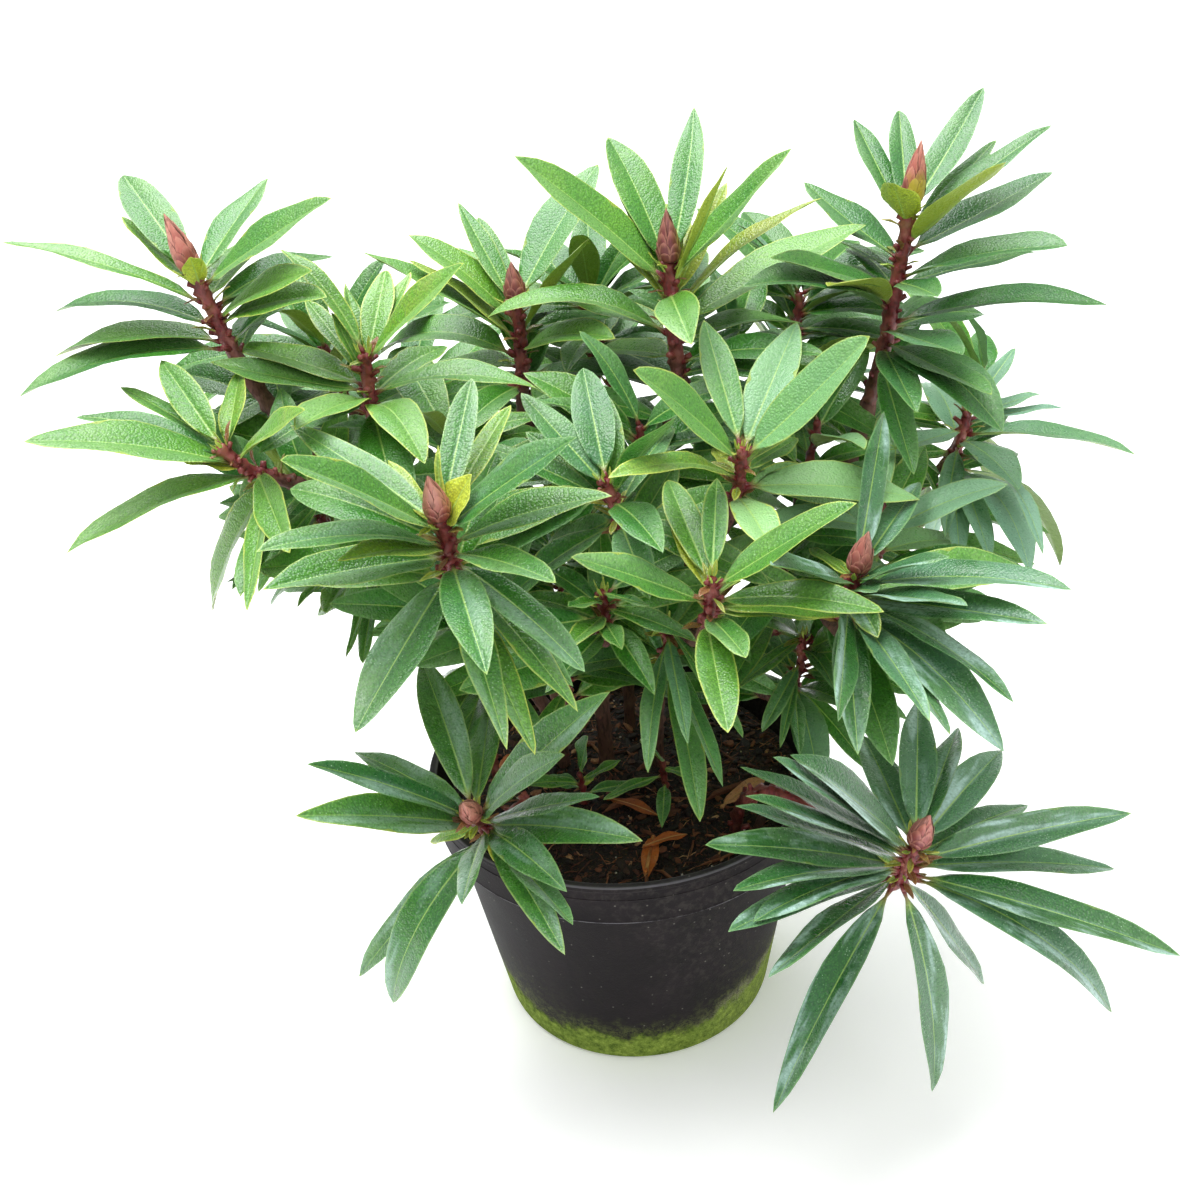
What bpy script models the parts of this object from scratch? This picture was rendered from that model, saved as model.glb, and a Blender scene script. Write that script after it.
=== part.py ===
"""Rhododendron in a black plastic nursery pot.

Turned pot with drainage holes, soil filling, five woody stems standing in plain holes in the soil,
leafy shoots ending each branch, winter buds on the shoot ends and a few dry leaves on the soil.
Each visible leaf is listed once with the place of its tip in the reference picture; its real length
fixes how far in front of or behind the shoot that tip lies.  Metres, +Z up, pot standing on z = 0.
"""

import math
import random

import bmesh
import bpy
from mathutils import Vector
from mathutils.bvhtree import BVHTree

OBJECT_NAME = "potted_rhododendron"

# Pot, turned about the z axis.
POT_HEIGHT = 0.160
RIM_RADIUS = 0.1125
RIM_BAND = 0.027
BASE_RADIUS = 0.081
POT_WALL = 0.0022
POT_FLOOR = 0.0030
POT_SEGMENTS = 32
DRAIN_HOLES = 6
DRAIN_RADIUS = 0.0065
DRAIN_RING = 0.060
RIM_STEP = 0.0055
WELD = 0.00001

# Soil.
GAP = 0.0003
SOIL_LEVEL = 0.1395
SOIL_BUMP = 0.0016
SOIL_SEGMENTS = 24
SOIL_RINGS = (0.030, 0.058, 0.082)
STEM_SOCKET = 0.020
HOLE_RISE = 0.012
BRANCH_COLLAR = 0.014

# The eye that the leaf places were read from.
PICTURE_CENTRE = 600.0
FOCAL_PIXELS = 1400.0
EYE = Vector((-0.007, -0.652, 0.642))
LOOK_AT = Vector((-0.007, 0.0, 0.264))
EYE_ROLL = math.radians(-4.3)

# Picture outline of the thick of the plant, which leaves placed by rule keep within.
OUTLINE = (
    (165, 330), (235, 292), (330, 268), (405, 246), (480, 228), (548, 214), (625, 196), (760, 222),
    (860, 226), (945, 262), (985, 330), (1000, 430), (1016, 530), (985, 596), (930, 640), (905, 700),
    (885, 765), (800, 805), (700, 800), (560, 800), (440, 765), (424, 670), (398, 610), (335, 606),
    (290, 560), (236, 560), (214, 470), (165, 420),
)

# Leaf form.
PETIOLE_PART = 0.10
PETIOLE_HALF = 0.00120
LEAF_HALF_THICK = 0.00062
LEAF_STATIONS = (0.0, 0.36, 0.72)
FOLD = math.tan(math.radians(14.0))
NARROW_LEAF = 0.17
THIN_LEAF = 0.12
THIN_SEEN = 12
BROAD_LEAF = 0.33
BROAD_YOUNG_LEAF = 0.66
YOUNG_LEAF = 0.036
SLIM_LEAF = 17
CLEARANCE = 0.0007
FLOOR_CLEAR = 0.004
SISTER_START = 0.34
SISTER_GAP = 0.0003

# Shoots read from the picture.  stem: points from the bud down, as picture x, picture y and depth in
# metres (+ is away from the eye).  length: usual leaf length.  radius: stem radius at top and foot.
# leaves: tip x, tip y, width seen in pixels, rise of the midrib above its chord in pixels, size and,
# where a leaf joins the stem out of turn, how far down the stem it does.
SHOOTS = {
    "O": dict(
        stem=((917, 843, -0.142), (906, 866, -0.138), (893, 884, -0.126)), length=0.116,
        radius=(0.0032, 0.0038), bud=0.021,
        more=0, leaves=(
            (1132, 813, 36, 4, 1.02), (1115, 869, 24, 6, 1.02), (1181, 956, 30, 5, 1.15),
            (1112, 1013, 34, 24, 1.1), (932, 1092, 28, 12, 1.1), (773, 1113, 32, 4, 1.12),
            (984, 984, 18, 2, 0.85), (705, 845, 32, 6, 1.02), (753, 922, 26, 10, 0.95),
            (1002, 750, 40, 2, 0.9), (918, 700, 38, 0, 0.95), (862, 735, 38, 2, 0.85),
            (790, 755, 30, 4, 0.85), (773, 757, 18, 2, 0.95), (958, 727, 28, 0, 0.9),
            (1028, 805, 24, 4, 0.85), (1045, 832, 18, 4, 0.75), (728, 932, 26, 6, 1.05),
            (768, 978, 18, 2, 0.95), (735, 806, 16, 2, 1.0), (745, 796, 14, 2, 1.0),
            (733, 891, 20, 2, 0.95), (740, 767, 14, 2, 0.95), (852, 836, 14, 0, 0.36),
            (937, 802, 9, 0, 0.25),
        ),
    ),
    "N": dict(
        stem=((473, 815, -0.112), (484, 828, -0.100), (497, 834, -0.084)), length=0.098,
        radius=(0.0031, 0.0037), bud=0.019,
        more=0, leaves=(
            (295, 816, 38, 4, 1.05), (354, 752, 26, 4, 0.95), (306, 764, 22, 6, 1.05),
            (422, 662, 40, 2, 1.0), (643, 841, 40, 6, 1.0), (567, 892, 38, 4, 0.9),
            (565, 955, 34, 2, 1.0), (393, 1003, 42, 16, 1.1), (359, 977, 26, 4, 1.15),
            (610, 692, 38, 4, 1.1), (565, 755, 26, 2, 0.85), (492, 692, 30, 0, 0.95),
            (573, 925, 20, 0, 1.0), (462, 905, 20, 2, 0.85), (430, 842, 14, 2, 0.4),
            (600, 797, 16, 3, 0.9),
        ),
    ),
    "D": dict(
        stem=((440, 517, -0.112), (450, 550, -0.106), (456, 590, -0.096)), length=0.088,
        radius=(0.0034, 0.0044), bud=0.024,
        more=0, leaves=(
            (355, 733, 48, 2, 1.05), (487, 675, 48, 0, 0.95), (262, 590, 40, 4, 1.05),
            (585, 672, 34, 6, 1.0), (556, 583, 28, 6, 0.9), (612, 496, 32, 8, 0.95),
            (577, 437, 34, 2, 0.95), (472, 378, 32, 0, 0.85), (280, 460, 30, 4, 1.0),
            (290, 425, 34, 2, 1.0), (511, 405, 24, 2, 0.8), (337, 561, 20, 6, 0.75),
            (507, 750, 34, 0, 1.1), (535, 755, 26, 0, 1.15), (578, 712, 28, 4, 1.05),
            (472, 474, 30, 0, 0.38, 0.13), (388, 460, 16, 0, 0.6), (438, 445, 9, 0, 0.4),
            (256, 552, 22, 8, 1.1),
        ),
    ),
    "J": dict(
        stem=((712, 578, -0.104), (711, 602, -0.100), (704, 632, -0.090)), length=0.078,
        radius=(0.0027, 0.0034), bud=None,
        more=1, leaves=(
            (728, 733, 40, 0, 1.0), (850, 612, 22, 6, 1.0), (857, 503, 30, 2, 1.08),
            (571, 557, 30, 2, 0.95), (717, 478, 27, 0, 0.9), (746, 658, 28, 2, 0.75),
            (668, 480, 34, 0, 1.05), (787, 530, 18, 0, 0.8), (836, 619, 16, 4, 1.0),
            (672, 523, 16, 0, 0.6),
        ),
    ),
    "H": dict(
        stem=((742, 448, -0.044), (740, 478, -0.040), (732, 508, -0.032)), length=0.086,
        radius=(0.0029, 0.0036), bud=None,
        more=0, leaves=(
            (633, 370, 36, 4, 0.95), (704, 320, 34, 0, 0.95), (797, 322, 44, 0, 0.95),
            (870, 336, 46, -7, 1.0), (842, 500, 40, 8, 0.9), (920, 500, 38, 8, 1.08),
            (608, 478, 18, 16, 0.95), (823, 398, 17, 0, 0.75), (775, 560, 38, 4, 0.8),
            (803, 520, 14, 0, 0.8), (798, 438, 20, 0, 0.65), (712, 448, 14, 0, 0.32),
        ),
    ),
    "L": dict(
        stem=((857, 570, -0.082), (849, 596, -0.080), (845, 624, -0.072)), length=0.100,
        radius=(0.0030, 0.0037), bud=0.022,
        more=0, leaves=(
            (1072, 590, 26, 12, 1.05), (1048, 624, 32, 2, 1.02), (1004, 752, 44, 14, 1.05),
            (858, 755, 38, 0, 0.9), (1014, 703, 16, 12, 1.0), (930, 722, 26, 4, 0.95),
            (878, 638, 28, 8, 0.38), (968, 606, 14, 2, 0.8), (884, 411, 24, 0, 0.9),
            (920, 482, 26, 0, 0.85), (950, 557, 11, 2, 0.6), (950, 735, 16, 6, 1.0),
            (770, 565, 18, 2, 0.85), (838, 722, 18, 0, 0.95), (810, 548, 12, 0, 0.6),
            (877, 592, 17, 0, 0.24),
        ),
    ),
    "G": dict(
        stem=((911, 203, 0.056), (903, 250, 0.056), (893, 300, 0.056), (884, 348, 0.056),
              (868, 405, 0.054)), length=0.096,
        radius=(0.0040, 0.0050), bud=0.031,
        more=0, leaves=(
            (984, 87, 32, -6, 0.95), (899, 110, 28, 0, 0.85), (854, 119, 24, 0, 0.88),
            (1052, 125, 20, 2, 1.0), (1053, 172, 28, -2, 1.0), (1068, 246, 24, 8, 1.0),
            (1108, 305, 22, 11, 1.1), (804, 182, 28, -3, 0.85), (996, 140, 20, 0, 0.85),
            (1006, 162, 18, 0, 0.78), (1003, 432, 45, 18, 1.0), (917, 413, 32, 0, 0.85),
            (893, 183, 34, 0, 0.25, 0.10), (770, 258, 20, 2, 0.9), (1035, 252, 16, 2, 0.95),
            (827, 284, 18, 8, 0.7), (938, 297, 24, 2, 0.6, 0.38), (742, 287, 22, 16, 1.05),
            (797, 272, 20, 4, 0.9), (802, 370, 24, 0, 0.85), (914, 475, 30, 0, 0.8),
            (992, 395, 22, 0, 1.0), (963, 355, 22, 0, 0.95), (828, 237, 7, 2, 0.7),
        ),
    ),
    "F": dict(
        stem=((669, 262, 0.046), (671, 300, 0.046), (674, 338, 0.046), (681, 384, 0.045)),
        length=0.095, radius=(0.0038, 0.0048), bud=0.027,
        more=1, leaves=(
            (514, 156, 38, 4, 1.0), (608, 137, 40, 4, 0.95), (694, 107, 32, -4, 0.95),
            (792, 148, 26, -2, 0.95), (866, 225, 34, 4, 1.05), (571, 185, 12, 2, 0.85),
            (692, 345, 46, 0, 0.72, 0.26), (487, 318, 22, 28, 1.05), (618, 180, 16, 0, 0.7),
            (727, 182, 24, 0, 0.75), (822, 198, 12, 12, 0.95), (728, 165, 9, 0, 0.85),
            (683, 205, 13, 0, 0.4), (803, 325, 16, 12, 0.9), (560, 300, 22, 4, 0.85),
            (598, 350, 22, 2, 0.75),
        ),
    ),
    "A": dict(
        stem=((192, 270, 0.030), (214, 314, 0.030), (228, 342, 0.029), (246, 372, 0.027)),
        length=0.105, radius=(0.0036, 0.0044), bud=0.029,
        more=0, leaves=(
            (1, 242, 15, 8, 1.0), (18, 398, 28, 16, 1.05), (55, 312, 20, 18, 0.9),
            (52, 358, 20, 14, 0.92), (123, 175, 42, 0, 0.75), (268, 178, 26, 2, 0.78),
            (332, 198, 30, 2, 0.85), (121, 216, 16, 0, 0.68), (327, 297, 28, 8, 0.75),
            (312, 271, 24, 4, 0.72), (248, 241, 30, 0, 0.6), (190, 257, 24, 0, 0.20, 0.18),
            (218, 331, 10, 0, 0.22),
        ),
    ),
    "E": dict(
        stem=((516, 300, 0.086), (520, 330, 0.086), (521, 360, 0.085), (523, 396, 0.083)),
        length=0.094, radius=(0.0036, 0.0046), bud=0.021,
        more=1, leaves=(
            (602, 153, 40, 2, 1.0), (376, 358, 30, 26, 1.0), (408, 235, 28, 6, 0.85),
            (458, 202, 22, 0, 0.85), (478, 217, 26, 0, 0.75), (613, 338, 26, 10, 0.85),
            (700, 402, 20, 12, 1.12), (362, 252, 15, 2, 1.0), (590, 238, 12, 0, 0.72),
            (408, 260, 11, 6, 0.8), (425, 370, 20, 4, 0.9),
        ),
    ),
    "B": dict(
        stem=((365, 354, 0.000), (368, 382, 0.002), (374, 424, 0.004)), length=0.086,
        radius=(0.0031, 0.0040), bud=None,
        more=0, leaves=(
            (280, 249, 20, 10, 0.85), (425, 464, 40, 12, 0.9), (536, 388, 20, 16, 1.0),
            (228, 344, 26, 2, 0.95), (464, 263, 26, 2, 0.9), (386, 270, 30, 0, 0.75),
            (210, 362, 24, -4, 1.0), (295, 430, 24, 6, 0.9), (306, 300, 20, 0, 0.75),
            (411, 272, 14, 2, 0.75), (331, 312, 12, 0, 0.42), (345, 283, 16, 0, 0.65),
            (386, 432, 22, 0, 0.7),
        ),
    ),
    "C": dict(
        stem=((219, 446, -0.036), (246, 468, -0.032), (294, 483, -0.026)), length=0.095,
        radius=(0.0031, 0.0039), bud=None,
        more=0, leaves=(
            (23, 442, 36, 9, 1.0), (66, 554, 24, 11, 0.95), (161, 360, 34, 0, 0.7),
            (242, 367, 22, 0, 0.6), (290, 553, 34, 0, 0.75), (75, 417, 22, 10, 0.9),
            (305, 410, 16, 2, 0.7), (120, 387, 16, 3, 0.85), (180, 460, 12, 0, 0.3),
            (213, 613, 24, 10, 0.95), (247, 612, 20, 0, 0.95),
        ),
    ),
    "I": dict(
        stem=((606, 480, -0.052), (614, 506, -0.048), (626, 536, -0.042)), length=0.071,
        radius=(0.0026, 0.0032), bud=None,
        more=3, leaves=(
            (521, 393, 30, 0, 0.95), (583, 368, 42, 0, 1.0), (543, 553, 30, 0, 0.85),
            (675, 418, 22, 0, 0.9), (650, 600, 38, 0, 0.9), (470, 442, 22, 4, 1.1),
            (635, 492, 9, 0, 0.35),
        ),
    ),
    "M": dict(
        stem=((968, 412, 0.082), (960, 440, 0.079), (944, 492, 0.072)), length=0.094,
        radius=(0.0031, 0.0038), bud=None,
        more=1, leaves=(
            (1136, 455, 15, 10, 1.0), (1030, 575, 34, 22, 1.0), (945, 537, 24, 2, 0.8),
            (1060, 567, 12, 28, 1.1), (1043, 555, 11, 22, 1.0), (990, 560, 24, 2, 0.95),
            (1019, 490, 28, 6, 0.8), (1040, 394, 12, 2, 0.62), (1063, 408, 8, 4, 0.72),
            (890, 455, 20, 2, 0.7), (960, 565, 24, 0, 1.0), (1015, 348, 17, 0, 0.7),
            (926, 555, 18, 0, 1.0),
        ),
    ),
    "K": dict(
        stem=((602, 590, -0.062), (604, 606, -0.060), (606, 640, -0.052)), length=0.056,
        radius=(0.0018, 0.0024), bud=None,
        more=3, leaves=(
            (697, 642, 20, 4, 1.05), (545, 693, 24, 0, 1.15), (622, 650, 22, 0, 0.8),
            (566, 648, 20, 0, 0.85), (568, 607, 10, 0, 0.5), (650, 606, 8, 0, 0.6),
        ),
    ),
    "S": dict(
        stem=((666, 622, -0.058), (667, 640, -0.050), (668, 668, -0.040)), length=0.084,
        radius=(0.0018, 0.0022), bud=None,
        more=2, leaves=(
            (700, 822, 26, 2, 1.1), (648, 773, 20, 4, 0.9), (688, 745, 18, 0, 0.8),
            (743, 738, 14, 2, 0.9), (723, 787, 14, 0, 1.05),
        ),
    ),
    "T": dict(
        stem=((804, 636, -0.006), (800, 662, -0.002), (790, 700, 0.002)), length=0.070,
        radius=(0.0018, 0.0022), bud=None,
        more=3, leaves=(
            (762, 732, 18, 0, 0.75), (735, 690, 16, 2, 0.72), (800, 755, 14, 0, 0.85),
            (780, 748, 12, 0, 0.75), (835, 690, 16, 6, 0.6),
        ),
    ),
    "V": dict(
        stem=((352, 548, 0.034), (366, 566, 0.034), (388, 590, 0.034)), length=0.075,
        radius=(0.0018, 0.0023), bud=None,
        more=2, leaves=(
            (363, 664, 16, 2, 0.9), (326, 613, 20, 3, 0.9), (297, 608, 10, 2, 0.8),
            (318, 613, 9, 0, 0.75), (346, 658, 10, 0, 0.9), (395, 626, 22, 0, 0.75),
        ),
    ),
    "U": dict(
        stem=((470, 640, -0.010), (476, 664, -0.006), (486, 700, 0.000)), length=0.072,
        radius=(0.0018, 0.0023), bud=None,
        more=2, leaves=(
            (437, 745, 28, 0, 0.95), (462, 750, 22, 0, 0.95), (548, 742, 24, 2, 0.95),
            (438, 655, 20, 2, 0.7), (524, 640, 20, 0, 0.7),
        ),
    ),
    "Q": dict(
        stem=((662, 758, -0.018), (663, 770, -0.016), (666, 790, -0.012)), length=0.042,
        radius=(0.0013, 0.0015), bud=None,
        more=0, leaves=((603, 800, 10, 2, 0.95), (662, 828, 15, 0, 0.85), (640, 742, 9, 0, 0.6),
                (694, 776, 9, 0, 0.5)),
    ),
    "R": dict(
        stem=((580, 772, -0.022), (582, 784, -0.020), (585, 802, -0.016)), length=0.040,
        radius=(0.0013, 0.0015), bud=None,
        more=2, leaves=((621, 760, 9, 0, 0.7), (588, 736, 14, 0, 0.7), (548, 776, 14, 0, 0.6),
                (530, 806, 12, 0, 0.8)),
    ),
    "P": dict(
        stem=((884, 505, -0.022), (882, 530, -0.016), (872, 570, -0.004)), length=0.078,
        radius=(0.0020, 0.0026), bud=None, more=5, leaves=((884, 411, 24, 0, 0.95),),
    ),
    "X1": dict(
        stem=((565, 640, -0.020), (566, 662, -0.018), (568, 700, -0.010)), length=0.066,
        radius=(0.0020, 0.0026), bud=None, more=5, leaves=(),
    ),
    "X2": dict(
        stem=((450, 440, 0.034), (456, 464, 0.035), (470, 505, 0.036)), length=0.078,
        radius=(0.0020, 0.0026), bud=None, more=5, leaves=(),
    ),
    "X3": dict(
        stem=((640, 425, 0.004), (641, 450, 0.006), (640, 492, 0.010)), length=0.074,
        radius=(0.0020, 0.0026), bud=None, more=5, leaves=(),
    ),
    "X4": dict(
        stem=((818, 420, 0.030), (813, 446, 0.030), (800, 492, 0.030)), length=0.078,
        radius=(0.0020, 0.0026), bud=None, more=5, leaves=(),
    ),
    "X5": dict(
        stem=((305, 498, 0.020), (322, 520, 0.021), (350, 548, 0.022)), length=0.076,
        radius=(0.0020, 0.0026), bud=None, more=5, leaves=(),
    ),
    "X6": dict(
        stem=((785, 560, -0.004), (782, 586, -0.001), (772, 630, 0.004)), length=0.072,
        radius=(0.0020, 0.0026), bud=None, more=5, leaves=(),
    ),
    "X7": dict(
        stem=((735, 345, 0.074), (733, 372, 0.074), (725, 418, 0.072)), length=0.080,
        radius=(0.0020, 0.0026), bud=None, more=5, leaves=(),
    ),
    "X8": dict(
        stem=((556, 540, 0.002), (559, 564, 0.003), (566, 604, 0.006)), length=0.070,
        radius=(0.0020, 0.0026), bud=None, more=5, leaves=(),
    ),
    "X9": dict(
        stem=((325, 345, 0.078), (334, 370, 0.077), (352, 410, 0.074)), length=0.080,
        radius=(0.0020, 0.0026), bud=None, more=5, leaves=(),
    ),
    "X10": dict(
        stem=((590, 296, 0.128), (592, 322, 0.127), (596, 366, 0.122)), length=0.078,
        radius=(0.0020, 0.0026), bud=None, more=6, leaves=(),
    ),
    "X11": dict(
        stem=((800, 292, 0.112), (797, 318, 0.111), (788, 362, 0.106)), length=0.078,
        radius=(0.0020, 0.0026), bud=None, more=6, leaves=(),
    ),
    "X12": dict(
        stem=((985, 372, 0.128), (976, 396, 0.126), (958, 440, 0.118)), length=0.078,
        radius=(0.0020, 0.0026), bud=None, more=6, leaves=(),
    ),
}

# Shoots on the far side, not seen in the picture: top of the stem, its lean and leaf length, in metres.
FAR_SHOOTS = {
    "W1": dict(top=(-0.115, 0.145, 0.325), lean=(-0.30, 0.35), length=0.092),
    "W2": dict(top=(0.010, 0.185, 0.320), lean=(0.02, 0.45), length=0.092),
    "W3": dict(top=(0.120, 0.155, 0.325), lean=(0.30, 0.40), length=0.094),
    "W4": dict(top=(-0.060, 0.165, 0.225), lean=(-0.15, 0.60), length=0.080),
    "W5": dict(top=(0.078, 0.165, 0.230), lean=(0.25, 0.55), length=0.080),
}
FAR_STEM = 0.042
# Listed leaves that show their lower side, by shoot and place of the tip.
SEEN_FROM_BELOW = {
    "A": ((190, 257),),
    "D": ((472, 474),),
    "E": ((590, 238), (408, 260)),
    "F": ((571, 185), (822, 198), (728, 165)),
    "G": ((1006, 162), (827, 284), (802, 370)),
    "M": ((1060, 567), (1043, 555)),
}
TURNED_AWAY = 1.5
# Leaves that are known to lean towards the eye (min) or away from it (max), by their tip.
LEANING = {"A": {(190, 257): min}, "D": {(472, 474): min}, "O": {(1028, 805): max}}
FIRST_SHIFT = 0.016
FAR_LEAVES = 6
GOLDEN_ANGLE = math.radians(137.5)

# Woody stems: place in the soil, fork point, radius, and the shoots each one carries.
TRUNKS = {
    "stem_centre": dict(soil=(-0.010, 0.022), fork=(-0.013, 0.022, 0.262), radius=0.0046,
                        shoots=("E", "F", "I", "K", "X3", "X8", "X10")),
    "stem_right": dict(soil=(0.020, 0.012), fork=(0.026, 0.004, 0.236), radius=0.0036,
                       shoots=("H", "J", "S", "T", "X6", "X7", "X11")),
    "stem_left": dict(soil=(-0.036, 0.024), fork=(-0.066, 0.006, 0.240), radius=0.0042,
                      shoots=("D", "B", "C", "A", "V", "X1", "X2", "X5", "X9")),
    "stem_far_right": dict(soil=(0.046, 0.038), fork=(0.096, 0.030, 0.238), radius=0.0040,
                           shoots=("G", "M", "L", "P", "X4", "X12")),
    "stem_back": dict(soil=(0.006, 0.060), fork=(0.010, 0.084, 0.185), radius=0.0034,
                      shoots=("W1", "W2", "W3", "W4", "W5")),
}
# Low shoots that arch over the rim from the soil: place in the soil and height of the arch.
ARCHED = {"N": (-0.044, -0.050, 0.205), "O": (0.058, -0.050, 0.215)}
# Shoots that stand straight in the soil.
UPRIGHT = ("Q", "R", "U")

# Dry leaves lying on the soil: centre x, y, heading in degrees, length and width in metres.
FALLEN = {
    "dry_leaf_1": (0.0097, -0.0671, -100.0, 0.036, 0.0095),
    "dry_leaf_2": (0.0185, -0.0585, 18.0, 0.027, 0.0075),
    "dry_leaf_3": (0.0027, -0.0253, -34.0, 0.036, 0.0080),
    "dry_leaf_4": (0.066, -0.020, 40.0, 0.038, 0.0095),
    "dry_leaf_5": (-0.070, 0.020, 75.0, 0.036, 0.0100),
}

COLOURS = {
    "pot": (0.020, 0.020, 0.022, 1.0),
    "soil": (0.030, 0.018, 0.011, 1.0),
    "wood": (0.120, 0.050, 0.028, 1.0),
    "leaf": (0.085, 0.260, 0.070, 1.0),
    "bud": (0.330, 0.120, 0.080, 1.0),
    "dry": (0.330, 0.120, 0.035, 1.0),
}


# Places in the picture.
def eye_axes():
    """Right, up and forward of the eye."""
    forward = (LOOK_AT - EYE).normalized()
    right = Vector((1.0, 0.0, 0.0))
    up = right.cross(forward)
    turned_right = right * math.cos(EYE_ROLL) + up * math.sin(EYE_ROLL)
    turned_up = up * math.cos(EYE_ROLL) - right * math.sin(EYE_ROLL)
    return turned_right, turned_up, forward


EYE_RIGHT, EYE_UP, EYE_FORWARD = eye_axes()


def sight_line(x, y):
    """Unit direction from the eye through a picture point."""
    across = EYE_RIGHT * ((x - PICTURE_CENTRE) / FOCAL_PIXELS)
    down = EYE_UP * ((y - PICTURE_CENTRE) / FOCAL_PIXELS)
    return (EYE_FORWARD + across - down).normalized()


def seen_point(x, y, depth):
    """The point on a sight line whose y coordinate is depth."""
    line = sight_line(x, y)
    return EYE + line * ((depth - EYE.y) / line.y)


def picture_place(point):
    """Picture x and y of a point."""
    offset = point - EYE
    scale = FOCAL_PIXELS / offset.dot(EYE_FORWARD)
    return PICTURE_CENTRE + offset.dot(EYE_RIGHT) * scale, PICTURE_CENTRE - offset.dot(EYE_UP) * scale


def inside_outline(point):
    """True when a point is seen within the part of the picture that foliage fills."""
    x, y = picture_place(point)
    inside = False
    for (x0, y0), (x1, y1) in zip(OUTLINE, OUTLINE[1:] + OUTLINE[:1]):
        if (y0 > y) != (y1 > y) and x < x0 + (x1 - x0) * (y - y0) / (y1 - y0):
            inside = not inside
    return inside


# Curves.
def bezier(points, t):
    """A point of a Bezier curve of any order."""
    while len(points) > 1:
        points = [a.lerp(b, t) for a, b in zip(points, points[1:])]
    return points[0]


def sampled(points, count):
    """Evenly stepped points of a Bezier curve."""
    return [bezier(list(points), i / (count - 1)) for i in range(count)]


def path_point(path, part):
    """Point and direction a given part of the way along a list of points."""
    spans = [(b - a).length for a, b in zip(path, path[1:])]
    left = part * sum(spans)
    for (a, b), span in zip(zip(path, path[1:]), spans):
        if left <= span:
            return a.lerp(b, left / span), (b - a).normalized()
        left -= span
    return path[-1], (path[-1] - path[-2]).normalized()


# Plan of the stems.
def far_stem(spec):
    """Stem of an unseen shoot, from its top down."""
    top = Vector(spec["top"])
    lean = Vector((spec["lean"][0], spec["lean"][1], 1.0)).normalized()
    return [top, top - lean * (FAR_STEM * 0.5), top - lean * FAR_STEM]


def plan_stems():
    """Stem points from the top down for every shoot, by name."""
    stems = {}
    for name, spec in SHOOTS.items():
        stems[name] = [seen_point(*point) for point in spec["stem"]]
    for name, spec in FAR_SHOOTS.items():
        stems[name] = far_stem(spec)
    for name, (x, y, height) in ARCHED.items():
        foot = stems[name][-1]
        heading = (foot - stems[name][-2]).normalized()
        ground = Vector((x, y, SOIL_LEVEL))
        span = (foot - ground).length
        inward = Vector((ground.x, ground.y, height)).lerp(Vector((foot.x, foot.y, height)), 0.35)
        arc = (foot, foot + heading * span * 0.15, inward, ground + Vector((0, 0, span * 0.35)), ground)
        stems[name] += sampled(arc, 7)[1:] + [ground - Vector((0, 0, STEM_SOCKET))]
    for name in UPRIGHT:
        foot = stems[name][-1]
        stems[name].append(Vector((foot.x, foot.y, SOIL_LEVEL - STEM_SOCKET)))
    return stems


def plan_branches(stems):
    """For every woody stem: its tubes as (points, radii), each branch ending just short of its shoot."""
    plans = {}
    for name, spec in TRUNKS.items():
        fork = Vector(spec["fork"])
        radius = spec["radius"]
        ground = Vector((spec["soil"][0], spec["soil"][1], SOIL_LEVEL))
        socket = ground - Vector((0, 0, STEM_SOCKET))
        rise = Vector((0, 0, 0.045))
        top = fork + (fork - ground).normalized() * 0.004
        trunk = [socket, *sampled((ground, ground + rise, fork - (fork - ground) * 0.3, top), 5)]
        tubes = [(trunk, [radius] * 3 + [radius * 0.95] * 3)]
        for shoot in spec["shoots"]:
            foot_radius = shoot_radii(shoot)[1]
            foot = stems[shoot][-1]
            heading = (stems[shoot][-2] - foot).normalized()
            end = foot - heading * GAP
            reach = (end - fork).length
            start_heading = (fork - ground).normalized()
            start = fork - start_heading * 0.002
            arc = (start, fork + start_heading * reach * 0.25, end - heading * reach * 0.24, end)
            points = sampled(arc, 5)
            points[-2] = end - heading * min((points[-2] - end).length, BRANCH_COLLAR)
            first = min(radius * 0.85, foot_radius)
            radii = [first + (foot_radius - first) * i / 4 for i in range(5)]
            tubes.append((points, radii))
        plans[name] = tubes
    return plans


def shoot_radii(name):
    """Stem radius of a shoot at its top and at its foot."""
    if name in SHOOTS:
        return SHOOTS[name]["radius"]
    return (0.0024, 0.0030)


# Leaf form.
def leaf_half_width(part):
    """Half width of a blade of unit width, part of the way from its neck to its tip."""
    part = min(max(part, 0.0), 1.0)
    return 0.5 * (part ** 0.85) * ((1.0 - part) ** 0.78) / 0.3230


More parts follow.
